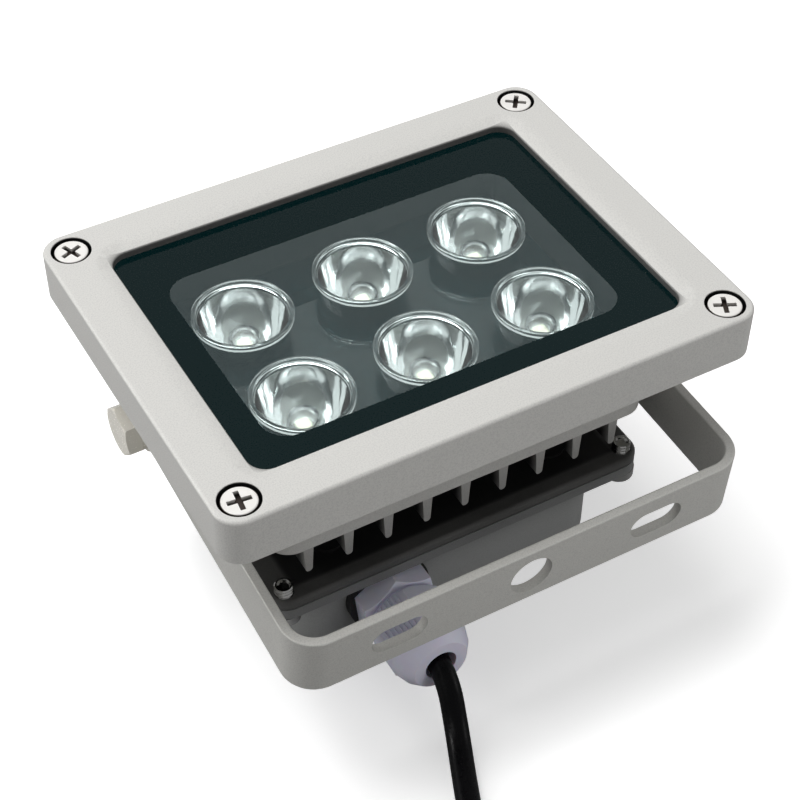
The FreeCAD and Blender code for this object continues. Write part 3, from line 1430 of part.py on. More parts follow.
def tube(name, points, radius):
    path = route_wire(name, points)
    first_run = FreeCAD.Vector(*points[1]) - FreeCAD.Vector(*points[0])
    outline = Part.Wire([Part.makeCircle(radius, FreeCAD.Vector(*points[0]), first_run)])
    feature = document.addObject("Part::Feature", name)
    feature.Label = name
    feature.Shape = path.makePipeShell([outline], True, False)
    feature.Placement = FreeCAD.Placement()
    share = feature.Shape.Volume / (math.pi * radius ** 2 * path.Length)
    print(name, "length", round(path.Length, 2), "volume over section times length", round(share, 5))
    return feature


def cable_and_connector():
    entry = document.addObject("Part::Cylinder", "cable_entry")
    entry.Label = "cable_entry"
    bind(entry, "Radius", "cable_radius")
    bind(entry, "Height", "entry_length")
    place(entry, "gland_offset", "-box_wall_y + entry_base", "gland_height", axis=(1, 0, 0), angle=90.0)
    tube("cable", CABLE_ROUTE, amount("cable_radius"))
    coil = new_body("cable_coil")
    section = sketch_on(coil, "XZ_Plane")
    rounded_rectangle(section, "coil_width", "coil_height", "coil_corner", "coil_mean_radius",
                      "coil_middle")
    turn(section)
    coil.Placement.Base = FreeCAD.Vector(*COIL_CENTRE, 0)
    tube("cable_tail", CABLE_TAIL_ROUTE, amount("cable_radius"))
    connector = turned_body("dc_connector", (
        ("0", "0"),
        ("connector_relief", "0"),
        ("connector_collar", "connector_relief_length"),
        ("connector_radius", "connector_shoulder"),
        ("connector_radius", "connector_chamfer"),
        ("connector_face", "connector_top"),
        ("connector_bore", "connector_top"),
        ("connector_bore", "connector_bore_level"),
        ("connector_pin", "connector_bore_level"),
        ("connector_pin", "connector_chamfer"),
        ("0", "connector_chamfer"),
    ))
    connector.Placement = FreeCAD.Placement(
        FreeCAD.Vector(*CONNECTOR_PLACE, 0), FreeCAD.Rotation(FreeCAD.Vector(1, 0, 0), -90))
    bind(connector, "Placement.Base.z", "connector_radius")


def inner_leads():
    radius = amount("lead_radius")
    entry_y = -amount("box_wall_y") + amount("entry_base")
    board_y = amount("driver_shift") - amount("driver_width") / 2 + SUPPLY_LEAD_INSET
    for colour, side in (("red", -1), ("black", 1)):
        x = amount("gland_offset") + side * SUPPLY_LEAD_SPREAD
        height = amount("gland_height")
        tube("supply_lead_" + colour, (
            (x, entry_y, height),
            (x, board_y, height),
            (x, board_y, amount("driver_top")),
        ), radius)
        inner = side * LED_LEAD_SPREAD
        top = amount("board_top") + LED_LEAD_BOW
        outer = side * (amount("wire_hole") + LED_LEAD_BOW)
        tube("led_lead_" + colour, (
            (inner, 0, amount("driver_top")),
            (inner, 0, top),
            (outer, 0, top),
            (outer, 0, amount("board_top")),
        ), radius)


# Checks and files

def sub_parts():
    found = []
    for item in document.Objects:
        if item.TypeId == "PartDesign::Body":
            found.append(item)
        elif item.TypeId.startswith("Part::") and item.getParentGeoFeatureGroup() is None:
            found.append(item)
    return found


def check_model():
    document.recompute()
    faults = []
    for item in document.Objects:
        if "Invalid" in item.State or "Error" in item.State:
            faults.append("%s (%s) is %s" % (item.Name, item.Label, item.State))
    if faults:
        raise RuntimeError("; ".join(faults))
    for item in document.Objects:
        if item.TypeId in ("PartDesign::Pocket", "PartDesign::Groove", "PartDesign::SubtractiveLoft"):
            if not item.Shape.Volume < item.BaseFeature.Shape.Volume - 1e-6:
                faults.append("%s cuts nothing" % item.Name)
    for item in sub_parts():
        if item.Shape.isNull() or not item.Shape.isValid() or not item.Shape.Solids:
            faults.append("%s has no valid solid" % item.Name)
    if faults:
        raise RuntimeError("; ".join(faults))


def write_parts():
    os.makedirs("parts", exist_ok=True)
    for item in sub_parts():
        item.Shape.exportStep("parts/%s.step" % item.Label)
        box = item.Shape.BoundBox
        print("%-20s %2d solid, %9.1f mm3, z %.2f to %.2f" % (
            item.Label, len(item.Shape.Solids), item.Shape.Volume, box.ZMin, box.ZMax))


fill_sheets()
front_bezel()
bezel_screws()
glass_and_gasket()
rear_housing()
lenses_and_emitters()
light_board()
lens_plate()
seam_and_cover()
driver()
gland()
mounting_bracket()
pivots()
cable_and_connector()
inner_leads()
check_model()
write_parts()
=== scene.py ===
"""Looks of the infrared illuminator: a small die-cast lamp on its back, with its cable and U bracket."""

import json
import math

import bpy
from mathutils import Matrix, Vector

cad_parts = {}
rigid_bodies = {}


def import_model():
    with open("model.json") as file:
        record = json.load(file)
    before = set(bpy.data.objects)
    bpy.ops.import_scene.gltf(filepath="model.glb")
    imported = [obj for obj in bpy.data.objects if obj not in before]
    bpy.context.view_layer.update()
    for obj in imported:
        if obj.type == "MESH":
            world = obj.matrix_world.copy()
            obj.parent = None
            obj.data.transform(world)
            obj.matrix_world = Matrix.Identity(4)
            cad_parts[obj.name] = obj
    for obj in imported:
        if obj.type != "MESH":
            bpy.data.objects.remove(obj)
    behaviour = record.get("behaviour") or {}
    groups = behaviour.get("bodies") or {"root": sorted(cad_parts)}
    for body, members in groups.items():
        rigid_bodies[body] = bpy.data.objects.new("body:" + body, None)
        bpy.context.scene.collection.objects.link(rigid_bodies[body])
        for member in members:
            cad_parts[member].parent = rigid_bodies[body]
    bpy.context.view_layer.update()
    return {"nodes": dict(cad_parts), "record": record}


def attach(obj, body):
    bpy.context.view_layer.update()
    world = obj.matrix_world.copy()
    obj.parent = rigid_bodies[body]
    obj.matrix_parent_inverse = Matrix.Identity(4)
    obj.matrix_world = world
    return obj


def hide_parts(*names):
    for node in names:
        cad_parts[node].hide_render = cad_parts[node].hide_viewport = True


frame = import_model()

NODES = frame["nodes"]
HOUSING = "housing"
BRACKET = "bracket"
MM = 0.001

# The photograph's camera.
CAMERA_PLACE = (-0.13365, -0.23540, 0.30512)
CAMERA_TURN = (45.162, -0.376, -29.524)
CAMERA_LENS = 82.29
SENSOR_WIDTH = 36.0

# Levels and places of the part, in millimetres.
BOARD_TOP = 47.6
LENS_PLACES = tuple((across, along) for along in (-12.85, 12.85) for across in (-27.0, 0.0, 27.0))
COVER_SCREWS = ((39.8, 27.3), (-39.8, 27.3), (-39.8, -27.3), (39.8, -27.3))
COVER_DEPTH = 21.2
BEZEL_SCREWS = (52.02, 38.02)
BEZEL_SCREW_TURNS = (45, 0, 45, 0)
SCREW_TOP = 69.7
SCREW_HEAD = 3.45
SCREW_RECESS = 4.05
BEZEL_TOP = 70.0
OPENING = (46.5, 33.4)
CHAMBER = (40.0, 28.5)
TRAY_SEAT = 46.0
TRAY_UNDERSIDE = 40.3
PLATE_TOP = 26.2

# The cable, as in the part: route to the coil, coil, tail to the connector. Millimetres.
CABLE_RADIUS = 2.45
CABLE_ROUTE = (
    (-16.2, -44.6, 11.7),
    (-16.2, -50.8, 11.7),
    (-18.4, -59.2, 2.6),
    (-23.4, -70.6, 2.5),
    (-28.0, -82.2, 2.5),
    (-31.0, -92.6, 2.5),
)
COIL_CENTRE = (-64.0, -101.0)
COIL_STEPS = (
    (0.0, 31.9, 2.5),
    (1.05, 31.9, 2.5),
    (1.25, 27.0, 2.5),
    (2.05, 27.0, 2.5),
    (2.25, 22.1, 2.5),
    (3.05, 22.1, 2.5),
    (3.25, 24.6, 6.8),
    (4.05, 24.6, 6.8),
    (4.25, 29.5, 6.8),
    (4.4, 29.9, 7.1),
)
COIL_POINTS_PER_TURN = 16
CABLE_TAIL_ROUTE = (
    (-95.4, -98.6, 7.5),
    (-96.2, -91.4, 7.3),
    (-95.8, -84.6, 5.4),
    (-95.4, -80.6, 5.0),
    (-95.4, -74.4, 5.0),
)

# Studio: the world's light, what the floor throws back, and how much of its own white it adds to the
# camera near the lamp and, from one distance to another, further out.
WORLD_LIGHT = 0.26
FLOOR_BOUNCE = (0.32, 0.32, 0.32, 1.0)
FLOOR_GLOW = 0.42
FAR_GLOW = 0.7
FAR_FLOOR = (350.0, 1100.0)


# Colours and materials.


def shade(red, green, blue):
    """A colour given as it looks, 0 to 255, as the shader wants it."""
    def linear(value):
        value = value / 255
        return value / 12.92 if value <= 0.04045 else ((value + 0.055) / 1.055) ** 2.4

    return (linear(red), linear(green), linear(blue), 1.0)


class Finish:
    """One material under construction: its shader, its object coordinates and small helpers."""

    def __init__(self, name):
        self.material = bpy.data.materials.new(name)
        self.material.use_nodes = True
        self.nodes = self.material.node_tree.nodes
        self.links = self.material.node_tree.links
        self.shader = self.nodes["Principled BSDF"]
        self.place = self.nodes.new("ShaderNodeTexCoord").outputs["Object"]

    def set(self, **values):
        for name, value in values.items():
            self.shader.inputs[name.replace("_", " ")].default_value = value
        return self

    def join(self, output, target):
        self.links.new(output, target)
        return self

    def noise(self, scale, detail=2.0, rough=0.5):
        node = self.nodes.new("ShaderNodeTexNoise")
        node.inputs["Scale"].default_value = scale
        node.inputs["Detail"].default_value = detail
        node.inputs["Roughness"].default_value = rough
        self.links.new(self.place, node.inputs["Vector"])
        return node.outputs["Fac"]

    def ramp(self, value, *stops):
        """Turns a 0 to 1 value into colours at the given stops."""
        node = self.nodes.new("ShaderNodeValToRGB")
        elements = node.color_ramp.elements
        while len(elements) < len(stops):
            elements.new(0.5)
        for element, (position, tint) in zip(elements, stops):
            element.position = position
            element.color = tint
        self.links.new(value, node.inputs["Fac"])
        return node.outputs["Color"]

    def between(self, value, low, high):
        """Spreads a noise over a range."""
        node = self.nodes.new("ShaderNodeMapRange")
        node.inputs["From Min"].default_value = 0.3
        node.inputs["From Max"].default_value = 0.7
        node.inputs["To Min"].default_value = low
        node.inputs["To Max"].default_value = high
        self.links.new(value, node.inputs["Value"])
        return node.outputs["Result"]

    def reckon(self, kind, *values):
        """Arithmetic on values or plain numbers."""
        node = self.nodes.new("ShaderNodeMath")
        node.operation = kind
        for place, value in zip(node.inputs, values):
            if isinstance(value, float):
                place.default_value = value
            else:
                self.links.new(value, place)
        return node.outputs["Value"]

    def product(self, first, *others):
        for other in others:
            first = self.reckon("MULTIPLY", first, other)
        return first

    def largest(self, first, *others):
        for other in others:
            first = self.reckon("MAXIMUM", first, other)
        return first

    def fade(self, value, full, none):
        """One where the value is at the first distance, falling to nothing at the second."""
        node = self.nodes.new("ShaderNodeMapRange")
        node.interpolation_type = "SMOOTHSTEP"
        node.inputs["From Min"].default_value = none * MM
        node.inputs["From Max"].default_value = full * MM
        self.links.new(value, node.inputs["Value"])
        return node.outputs["Result"]

    def axes(self):
        """Distances from the middle plane, across and along, and the height."""
        split = self.nodes.new("ShaderNodeSeparateXYZ")
        self.links.new(self.place, split.inputs["Vector"])
        return (self.reckon("ABSOLUTE", split.outputs["X"]), self.reckon("ABSOLUTE", split.outputs["Y"]),
                split.outputs["Z"])

    def away_from(self, corner):
        """Distance, seen from above, from the nearest of four points set alike in the corners."""
        across, along, _ = self.axes()
        aside = self.reckon("SUBTRACT", across, corner[0] * MM)
        ahead = self.reckon("SUBTRACT", along, corner[1] * MM)
        return self.reckon("SQRT", self.reckon("ADD", self.product(aside, aside), self.product(ahead, ahead)))

    def darken(self, share, tint):
        """Mixes the colour made so far towards another by a share."""
        target = self.shader.inputs["Base Color"]
        before = target.links[0].from_socket
        mix = self.nodes.new("ShaderNodeMix")
        mix.data_type = "RGBA"
        self.links.new(share, mix.inputs["Factor"])
        self.links.new(before, mix.inputs["A"])
        mix.inputs["B"].default_value = tint
        self.links.new(mix.outputs["Result"], target)
        return self

    def bump(self, height, strength, depth):
        node = self.nodes.new("ShaderNodeBump")
        node.inputs["Strength"].default_value = strength
        node.inputs["Distance"].default_value = depth
        self.links.new(height, node.inputs["Height"])
        self.links.new(node.outputs["Normal"], self.shader.inputs["Normal"])
        return self


def worn(name, light, dark, patch, grain, rough, strength, depth, **values):
    """A finish whose colour drifts in patches and whose surface has a fine grain.

    Patch and grain are counted to the metre, rough goes from one value to another, and strength and
    depth are the grain's.
    """
    finish = Finish(name)
    patches = finish.noise(patch, 3.0)
    finish.join(finish.ramp(patches, (0.35, dark), (0.65, light)), finish.shader.inputs["Base Color"])
    grains = finish.noise(grain, 2.0)
    finish.join(finish.between(grains, rough[0], rough[1]), finish.shader.inputs["Roughness"])
    finish.bump(grains, strength, depth)
    finish.set(**values)
    return finish


# What worn() is told of the steel and, as far as the grain, of the lenses.
STEEL = (shade(248, 246, 242), shade(242, 240, 236), 200, 3000, (0.28, 0.34), 0.04, 0.00002)
ACRYLIC = (shade(250, 252, 252), shade(246, 250, 250), 100, 900)
LENS = {"IOR": 1.49, "Transmission_Weight": 1.0}


def sanded(name, light, dark, **values):
    """Die-cast paint: a pale grey with a fine, faintly sparkling grain."""
    finish = Finish(name)
    grain = finish.noise(3600, 2.0, 0.6)
    speckle = finish.ramp(grain, (0.34, dark), (0.56, light), (0.7, light))
    finish.join(speckle, finish.shader.inputs["Base Color"])
    finish.join(finish.between(finish.noise(90, 2.0), 0.44, 0.54), finish.shader.inputs["Roughness"])
    finish.bump(grain, 0.35, 0.00005)
    finish.set(**values)
    return finish


def bezel_paint():
    """Painted shade: dark in the rings round the screw heads and on the wall of the opening."""
    paint = sanded("bezel_paint", shade(216, 215, 211), shade(203, 202, 199), Metallic=0.2)
    across, along, height = paint.axes()
    # Painted shade in the gap round each screw head.
    ring = paint.product(
        paint.fade(paint.away_from(BEZEL_SCREWS), SCREW_RECESS + 0.05, SCREW_RECESS + 0.15),
        paint.fade(height, BEZEL_TOP - 0.3, BEZEL_TOP - 0.1))
    # Painted shade on the wall of the opening.
    wall = paint.product(
        paint.fade(across, OPENING[0] + 0.15, OPENING[0] + 0.3),
        paint.fade(along, OPENING[1] + 0.15, OPENING[1] + 0.3),
        paint.fade(height, BEZEL_TOP - 1.4, BEZEL_TOP - 0.4),
        0.85)
    return paint.darken(paint.largest(ring, wall), shade(20, 21, 22))


def shaded_housing_paint():
    """Painted shade in the lens chamber, between the fins and on the back plate, where little light comes;
    less reflection and a faint painted teal glow in the chamber.
    """
    paint = sanded("shaded_housing_paint", shade(206, 205, 201), shade(194, 193, 190), Metallic=0.2)
    across, along, height = paint.axes()
    chamber = paint.product(
        paint.fade(across, CHAMBER[0] + 0.4, CHAMBER[0] + 0.6),
        paint.fade(along, CHAMBER[1] + 0.5, CHAMBER[1] + 0.7),
        paint.fade(height, TRAY_SEAT - 0.3, TRAY_SEAT - 0.6))
    fins = paint.product(
        paint.fade(across, CHAMBER[0] - 3.0, CHAMBER[0] + 2.0),
        paint.fade(along, CHAMBER[1] - 2.0, CHAMBER[1] + 2.5),
        paint.fade(height, TRAY_UNDERSIDE + 0.2, TRAY_UNDERSIDE + 0.7),
        0.97)
    plate = paint.product(paint.fade(height, PLATE_TOP + 0.1, PLATE_TOP + 1.4), 0.8)
    # Painted light: a faint teal glow in the lens chamber.
    paint.set(Emission_Color=(0.3, 0.9, 1.0, 1.0))
    paint.join(paint.product(chamber, 0.022), paint.shader.inputs["Emission Strength"])
    paint.join(paint.reckon("SUBTRACT", 0.5, paint.product(chamber, 0.3)),
               paint.shader.inputs["Specular IOR Level"])
    return paint.darken(paint.largest(chamber, fins, plate), shade(14, 15, 17))


def shaded_box_paint():
    """Painted shade: the lamp's paint made darker overall, and darker still towards the top, under the lamp.
    """
    paint = sanded("shaded_box_paint", shade(160, 161, 160), shade(150, 151, 150), Metallic=0.2)
    height = paint.axes()[2]
    return paint.darken(paint.product(paint.fade(height, COVER_DEPTH + 0.8, 8.0), 0.35), shade(60, 61, 63))


def bezel_screw_steel():
    """Bright heads, with painted shade in the cross and at the edge."""
    steel = worn("bezel_screw_steel", *STEEL, Metallic=0.25)
    height = steel.axes()[2]
    cross = steel.fade(height, SCREW_TOP - 1.5, SCREW_TOP - 0.35)
    edge = steel.fade(steel.away_from(BEZEL_SCREWS), SCREW_HEAD - 0.05, SCREW_HEAD - 0.2)
    # Painted shade, brownish, in the cross recess and the gap at the head's edge.
    return steel.darken(steel.largest(cross, edge), shade(46, 34, 28))


def window_glass():
    glass = Finish("window_glass")
    glass.set(Base_Color=shade(243, 250, 249), IOR=1.45, Transmission_Weight=1.0)
    return glass.join(glass.between(glass.noise(45, 3.0), 0.0, 0.006), glass.shader.inputs["Roughness"])


def make_materials():
    """Every finish by its slot, and those of single pieces by their own names."""
    finishes = {
        "light_paint": bezel_paint(),
        "bracket_paint": sanded("bracket_paint", shade(212, 211, 206), shade(199, 198, 194), Metallic=0.2),
        "shaded_housing_paint": shaded_housing_paint(),
        "shaded_box_paint": shaded_box_paint(),
        "stainless": worn("stainless_steel", *STEEL, Metallic=0.25),
        "screw_face": bezel_screw_steel(),
        "dark_steel": worn("blackened_steel", shade(222, 222, 220), shade(206, 206, 204), 200, 3000,
                           (0.1, 0.14), 0.03, 0.00002, Metallic=1.0),
        "plated_steel": worn("nickel_plated_steel", shade(252, 248, 238), shade(246, 242, 230), 150, 2400,
                             (0.22, 0.28), 0.05, 0.00002, Metallic=0.15),
        # Painted light: a faint teal glow on the print under the glass.
        "black_print": worn("border_print", shade(14, 30, 33), shade(11, 26, 29), 80, 1500,
                            (0.25, 0.35), 0.1, 0.00002,
                            Emission_Color=(0.0, 0.9, 1.0, 1.0), Emission_Strength=0.010),
        "silicone": worn("silicone_gasket", shade(92, 94, 94), shade(78, 80, 80), 200, 1500,
                         (0.55, 0.7), 0.3, 0.00005),
        "lens_frost": worn("lens_frosted_face", *ACRYLIC, (0.14, 0.2), 0.01, 0.00001, **LENS),
        "lens_acrylic": worn("lens_acrylic", *ACRYLIC, (0.02, 0.04), 0.01, 0.00001, **LENS),
        # Painted light: a cream glow on the emitters, which are not lit.
        "led_ceramic": worn("emitter_ceramic", shade(245, 241, 222), shade(234, 230, 208), 300, 2500,
                            (0.4, 0.55), 0.2, 0.00002,
                            Emission_Color=(1.0, 0.95, 0.8, 1.0), Emission_Strength=0.9),
        "board_white": worn("board_white", shade(196, 198, 194), shade(186, 188, 184), 120, 1800,
                            (0.35, 0.5), 0.2, 0.00003),
        # Painted light: a faint teal glow on the lens plate under the glass.
        "dark_gloss": worn("lens_plate_gloss", shade(22, 36, 38), shade(18, 30, 32), 40, 900,
                           (0.01, 0.03), 0.01, 0.00001,
                           Emission_Color=(0.0, 0.85, 1.0, 1.0), Emission_Strength=0.014),
        "board_green": worn("board_green", shade(30, 92, 58), shade(22, 74, 46), 150, 1600,
                            (0.3, 0.45), 0.3, 0.00004),
        "component_black": worn("component_black", shade(36, 36, 38), shade(26, 26, 28), 200, 1800,
                                (0.45, 0.6), 0.3, 0.00004),
        "gland_nylon": worn("gland_nylon", shade(236, 235, 252), shade(228, 227, 245), 80, 1400,
                            (0.36, 0.5), 0.25, 0.00004, Subsurface_Weight=0.2, Subsurface_Scale=0.002),
        "black_rubber": worn("black_rubber", shade(28, 28, 29), shade(20, 20, 21), 150, 1600,
                             (0.55, 0.7), 0.4, 0.00005),
        "cable_jacket": worn("cable_jacket", shade(8, 8, 10), shade(5, 5, 7), 60, 1800,
                             (0.26, 0.38), 0.3, 0.00005, Specular_IOR_Level=0.15),
        "connector_plastic": worn("connector_plastic", shade(26, 26, 28), shade(18, 18, 20), 120, 1800,
                                  (0.35, 0.5), 0.3, 0.00005),
        "lead_red": worn("lead_red", shade(176, 30, 28), shade(150, 22, 22), 200, 1500,
                         (0.35, 0.5), 0.2, 0.00003),
        "lead_black": worn("lead_black", shade(24, 24, 26), shade(16, 16, 18), 200, 1500,
                           (0.35, 0.5), 0.2, 0.00003),
        "clear_glass": window_glass(),
    }
    return {name: finish.material for name, finish in finishes.items()}


MATERIALS = make_materials()
SLOT_OF = {row["node"]: row["material_slot"] for row in frame["record"]["subparts"]}


def dress_nodes():
    """Every carried-over node gets the finished material of its slot."""
    for name, node in NODES.items():
        for place in node.material_slots:
            place.material = MATERIALS[SLOT_OF[name]]


# Modelling.


def lone(add, name, **where):
    """Adds a primitive with nothing else selected."""
    bpy.ops.object.select_all(action="DESELECT")
    add(**where)
    piece = bpy.context.object
    piece.name = piece.data.name = name
    return piece


def pick_only(piece):
    bpy.ops.object.select_all(action="DESELECT")
    piece.select_set(True)
    bpy.context.view_layer.objects.active = piece
    return piece


def turned(name, profile, sides=96):
    """A round piece drawn ring by ring from its profile of radius and height in millimetres."""
    radius, height = profile[0]
    piece = lone(bpy.ops.mesh.primitive_circle_add, name, vertices=sides, radius=max(radius, 0.01) * MM,
                 fill_type="NOTHING", location=(0, 0, 0))
    bpy.ops.object.mode_set(mode="EDIT")
    bpy.ops.mesh.select_all(action="SELECT")
    bpy.ops.transform.translate(value=(0, 0, height * MM))
    if radius == 0:
        radius = 0.01
    for next_radius, next_height in profile[1:]:
        rise = (next_height - height) * MM
        bpy.ops.mesh.extrude_edges_move(TRANSFORM_OT_translate={"value": (0, 0, rise)})
        scale = max(next_radius, 0.01) / radius
        bpy.ops.transform.resize(value=(scale, scale, 1.0), center_override=(0, 0, next_height * MM))
        radius, height = max(next_radius, 0.01), next_height
    bpy.ops.mesh.select_all(action="SELECT")
    if profile[0] == profile[-1]:
        bpy.ops.mesh.remove_doubles(threshold=0.000001)
    else:
        bpy.ops.mesh.fill_holes(sides=0)
    bpy.ops.mesh.select_all(action="SELECT")
    bpy.ops.mesh.normals_make_consistent(inside=False)
    bpy.ops.object.mode_set(mode="OBJECT")
    return piece


def block(name, size, centre):
    """A box of a size at a place, both in millimetres, ready to be shaped."""
    piece = lone(bpy.ops.mesh.primitive_cube_add, name, size=1.0, location=(0, 0, 0))
    bpy.ops.object.mode_set(mode="EDIT")
    bpy.ops.mesh.select_all(action="SELECT")
    bpy.ops.transform.resize(value=[side * MM for side in size])
    bpy.ops.transform.translate(value=[side * MM for side in centre])
    bpy.ops.object.mode_set(mode="OBJECT")
    return piece


def apply(piece, kind, **settings):
    """Adds a modifier and applies it."""
    pick_only(piece)
    modifier = piece.modifiers.new(kind.lower(), kind)
    for name, value in settings.items():
        setattr(modifier, name, value)
    bpy.ops.object.modifier_apply(modifier=modifier.name)
    return piece


def soften(piece, width, segments=2, angle=30.0):
    """Rounds the sharp edges a little, as paint, moulding or tumbling does."""
    apply(piece, "BEVEL", width=width * MM, segments=segments, limit_method="ANGLE",
          angle_limit=math.radians(angle), use_clamp_overlap=True, miter_outer="MITER_ARC")
    return piece


def smooth(piece, angle=32.0):
    pick_only(piece)
    bpy.ops.object.shade_smooth_by_angle(angle=math.radians(angle))
    apply(piece, "WEIGHTED_NORMAL", keep_sharp=True)
    return piece


def cut(piece, tool, operation="DIFFERENCE"):
    """Cuts a piece with a tool, which is then thrown away."""
    apply(piece, "BOOLEAN", object=tool, operation=operation, solver="EXACT")
    bpy.data.objects.remove(tool)
    return piece


def joined(*pieces):
    """Several shells made one piece."""
    bpy.ops.object.select_all(action="DESELECT")
    for piece in pieces:
        piece.select_set(True)
    bpy.context.view_layer.objects.active = pieces[0]
    bpy.ops.object.join()
    return pieces[0]


def copy_of_node(node, name):
    """A copy of a node's mesh with its loose triangles merged and its flat faces made whole."""
    piece = NODES[node].copy()
    piece.data = NODES[node].data.copy()
    piece.name = piece.data.name = name
    bpy.context.scene.collection.objects.link(piece)
    for key in list(piece.keys()):
        del piece[key]
    pick_only(piece)
    bpy.ops.object.parent_clear(type="CLEAR_KEEP_TRANSFORM")
    bpy.ops.object.mode_set(mode="EDIT")
    bpy.ops.mesh.select_all(action="SELECT")
    bpy.ops.mesh.customdata_custom_splitnormals_clear()
    bpy.ops.mesh.remove_doubles(threshold=0.0000005)
    bpy.ops.mesh.dissolve_limited(angle_limit=math.radians(0.4))
    bpy.ops.object.mode_set(mode="OBJECT")
    return piece


def softened_copy(node, name, width):
    """A copy of a node's mesh with its edges rounded by a width in millimetres."""
    piece = copy_of_node(node, name)
    soften(piece, width)
    return smooth(piece)


def put_on(piece, slot_name):
    piece.data.materials.clear()
    piece.data.materials.append(MATERIALS[slot_name])
    return piece


def fix_place(piece):
    """Puts a piece's place into its mesh."""
    pick_only(piece)
    bpy.ops.object.transform_apply(location=True, rotation=True, scale=True)
    return piece


def settle(piece, *nodes, body=HOUSING, slot_name=None):
    """Puts a finished piece in the frame: its place in its mesh, its finish, body and nodes."""
    fix_place(piece)
    put_on(piece, slot_name or SLOT_OF[nodes[0]])
    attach(piece, body)
    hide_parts(*nodes)
    return piece


def twin(piece, name):
    """A copy with its own mesh."""
    other = piece.copy()
    other.data = piece.data.copy()
    other.name = other.data.name = name
    bpy.context.scene.collection.objects.link(other)
    return other


# Castings and bracket.

# Each one's node, new name, width of its softened edges, body, and a paint of its own if it has one, which is
# the lamp's paint with painted shade.
CASTINGS = (
    ("front_bezel", "bezel_casting", 0.14, HOUSING, None),
    ("rear_housing", "finned_housing", 0.18, HOUSING, "shaded_housing_paint"),
    ("rear_cover", "driver_box", 0.16, HOUSING, "shaded_box_paint"),
    ("mounting_bracket", "u_bracket", 0.12, BRACKET, None),
)


def make_castings():
    for node, name, width, body, paint in CASTINGS:
        piece = settle(softened_copy(node, name, width), node, body=body)
        if paint:
            piece.data.materials[0] = MATERIALS[paint]


# Lenses and emitters.

# Half of a lens from the emitter's well to the middle of its front, above the board, as smooth runs.
LENS_WELL = ((0.0, 4.6), (1.2, 4.45), (2.2, 3.9), (2.8, 3.0), (2.9, 0.05))
LENS_FLANK = ((3.6, 0.05), (5.1, 1.8), (6.4, 4.0), (7.4, 6.4), (8.3, 9.0), (9.1, 11.6))
LENS_RIM = ((10.2, 11.6), (10.3, 11.7), (10.3, 12.7), (10.2, 12.8), (9.5, 12.8), (9.4, 12.7), (9.3, 12.0))
LENS_FRONT = ((8.9, 11.3), (7.0, 11.8), (4.7, 12.2), (2.4, 12.5), (0.0, 12.6))

# Frosted inside these radii: the front above its level, the well below its level.
FROST_FRONT = (8.9, 11.0)
FROST_WELL = (3.0, 4.7)

# Ring of the collar, from its foot up its inner side and down its outer one.
COLLAR = ((8.3, 6.3), (8.3, 6.7), (9.35, 11.1), (9.75, 11.1), (8.75, 6.7), (8.75, 6.3), (8.3, 6.3))

# An emitter: its square base and, from under the base's top, its dome.
EMITTER_BASE = (3.6, 3.6, 0.9)
EMITTER_DOME = (
    (0, 0.85), (1.5, 0.85), (1.5, 0.95), (1.42, 1.38), (1.18, 1.8), (0.82, 2.14), (0.42, 2.34), (0, 2.4))


def flow(points, steps):
    """Points along the smooth run through the given ones, so many to each stretch."""
    run = [points[0]]
    for number, (start, end) in enumerate(zip(points, points[1:])):
        before = points[max(number - 1, 0)]
        after = points[min(number + 2, len(points) - 1)]
        for step in range(1, steps + 1):
            share = step / steps
            run.append(tuple(
                0.5 * (2 * b + (c - a) * share + (2 * a - 5 * b + 4 * c - d) * share ** 2
                       + (3 * b - a - 3 * c + d) * share ** 3)
                for a, b, c, d in zip(before, start, end, after)))
    return run


def frost(lens, across, along):
    """Frosts the front face and the emitter's well, leaving flank and rim clear."""
    lens.data.materials.append(MATERIALS["lens_frost"])
    for face in lens.data.polygons:
        aside = math.hypot(face.center.x / MM - across, face.center.y / MM - along)
        level = face.center.z / MM - BOARD_TOP
        on_front = aside < FROST_FRONT[0] and level > FROST_FRONT[1]
        in_well = aside < FROST_WELL[0] and level < FROST_WELL[1]
        if on_front or in_well:
            face.material_index = 1


def make_lens_plate():
    """The dark plate, with the collar that it holds round each lens."""
    plate = copy_of_node("lens_plate", "collared_plate")
    collar = turned("collar_pattern", COLLAR)
    smooth(collar)
    collars = []
    for across, along in LENS_PLACES:
        ring = twin(collar, "collar")
        ring.location = (across * MM, along * MM, BOARD_TOP * MM)
        collars.append(fix_place(ring))
    bpy.data.objects.remove(collar)
    settle(joined(plate, *collars), "lens_plate")


def make_lenses():
    profile = [*flow(LENS_WELL, 4), *flow(LENS_FLANK, 3), *LENS_RIM, *flow(LENS_FRONT, 4)]
    pattern = turned("lens_pattern", profile)
    smooth(pattern, 50)
    for number, (across, along) in enumerate(LENS_PLACES, start=1):
        lens = twin(pattern, "collimator_lens_%d" % number)
        lens.location = (across * MM, along * MM, BOARD_TOP * MM)
        settle(lens, "lens_%d" % number)
        frost(lens, across, along)
    bpy.data.objects.remove(pattern)


def make_emitters():
    base = block("emitter_pattern", EMITTER_BASE, (0, 0, EMITTER_BASE[2] / 2))
    soften(base, 0.15)
    dome = turned("emitter_dome", EMITTER_DOME, 32)
    pattern = joined(base, dome)
    smooth(pattern, 35)
    for number, (across, along) in enumerate(LENS_PLACES, start=1):
        emitter = twin(pattern, "emitter_%d" % number)
        emitter.location = (across * MM, along * MM, BOARD_TOP * MM)
        settle(emitter, "led_emitter_%d" % number)
    bpy.data.objects.remove(pattern)


# Gland.


def make_gland():
    """The nylon parts that show, with softened edges."""
    for node, name, width in (("gland_body", "gland_hexagon", 0.12), ("gland_cap_nut", "gland_cap", 0.08)):
        settle(softened_copy(node, name, width), node)


# Screws.


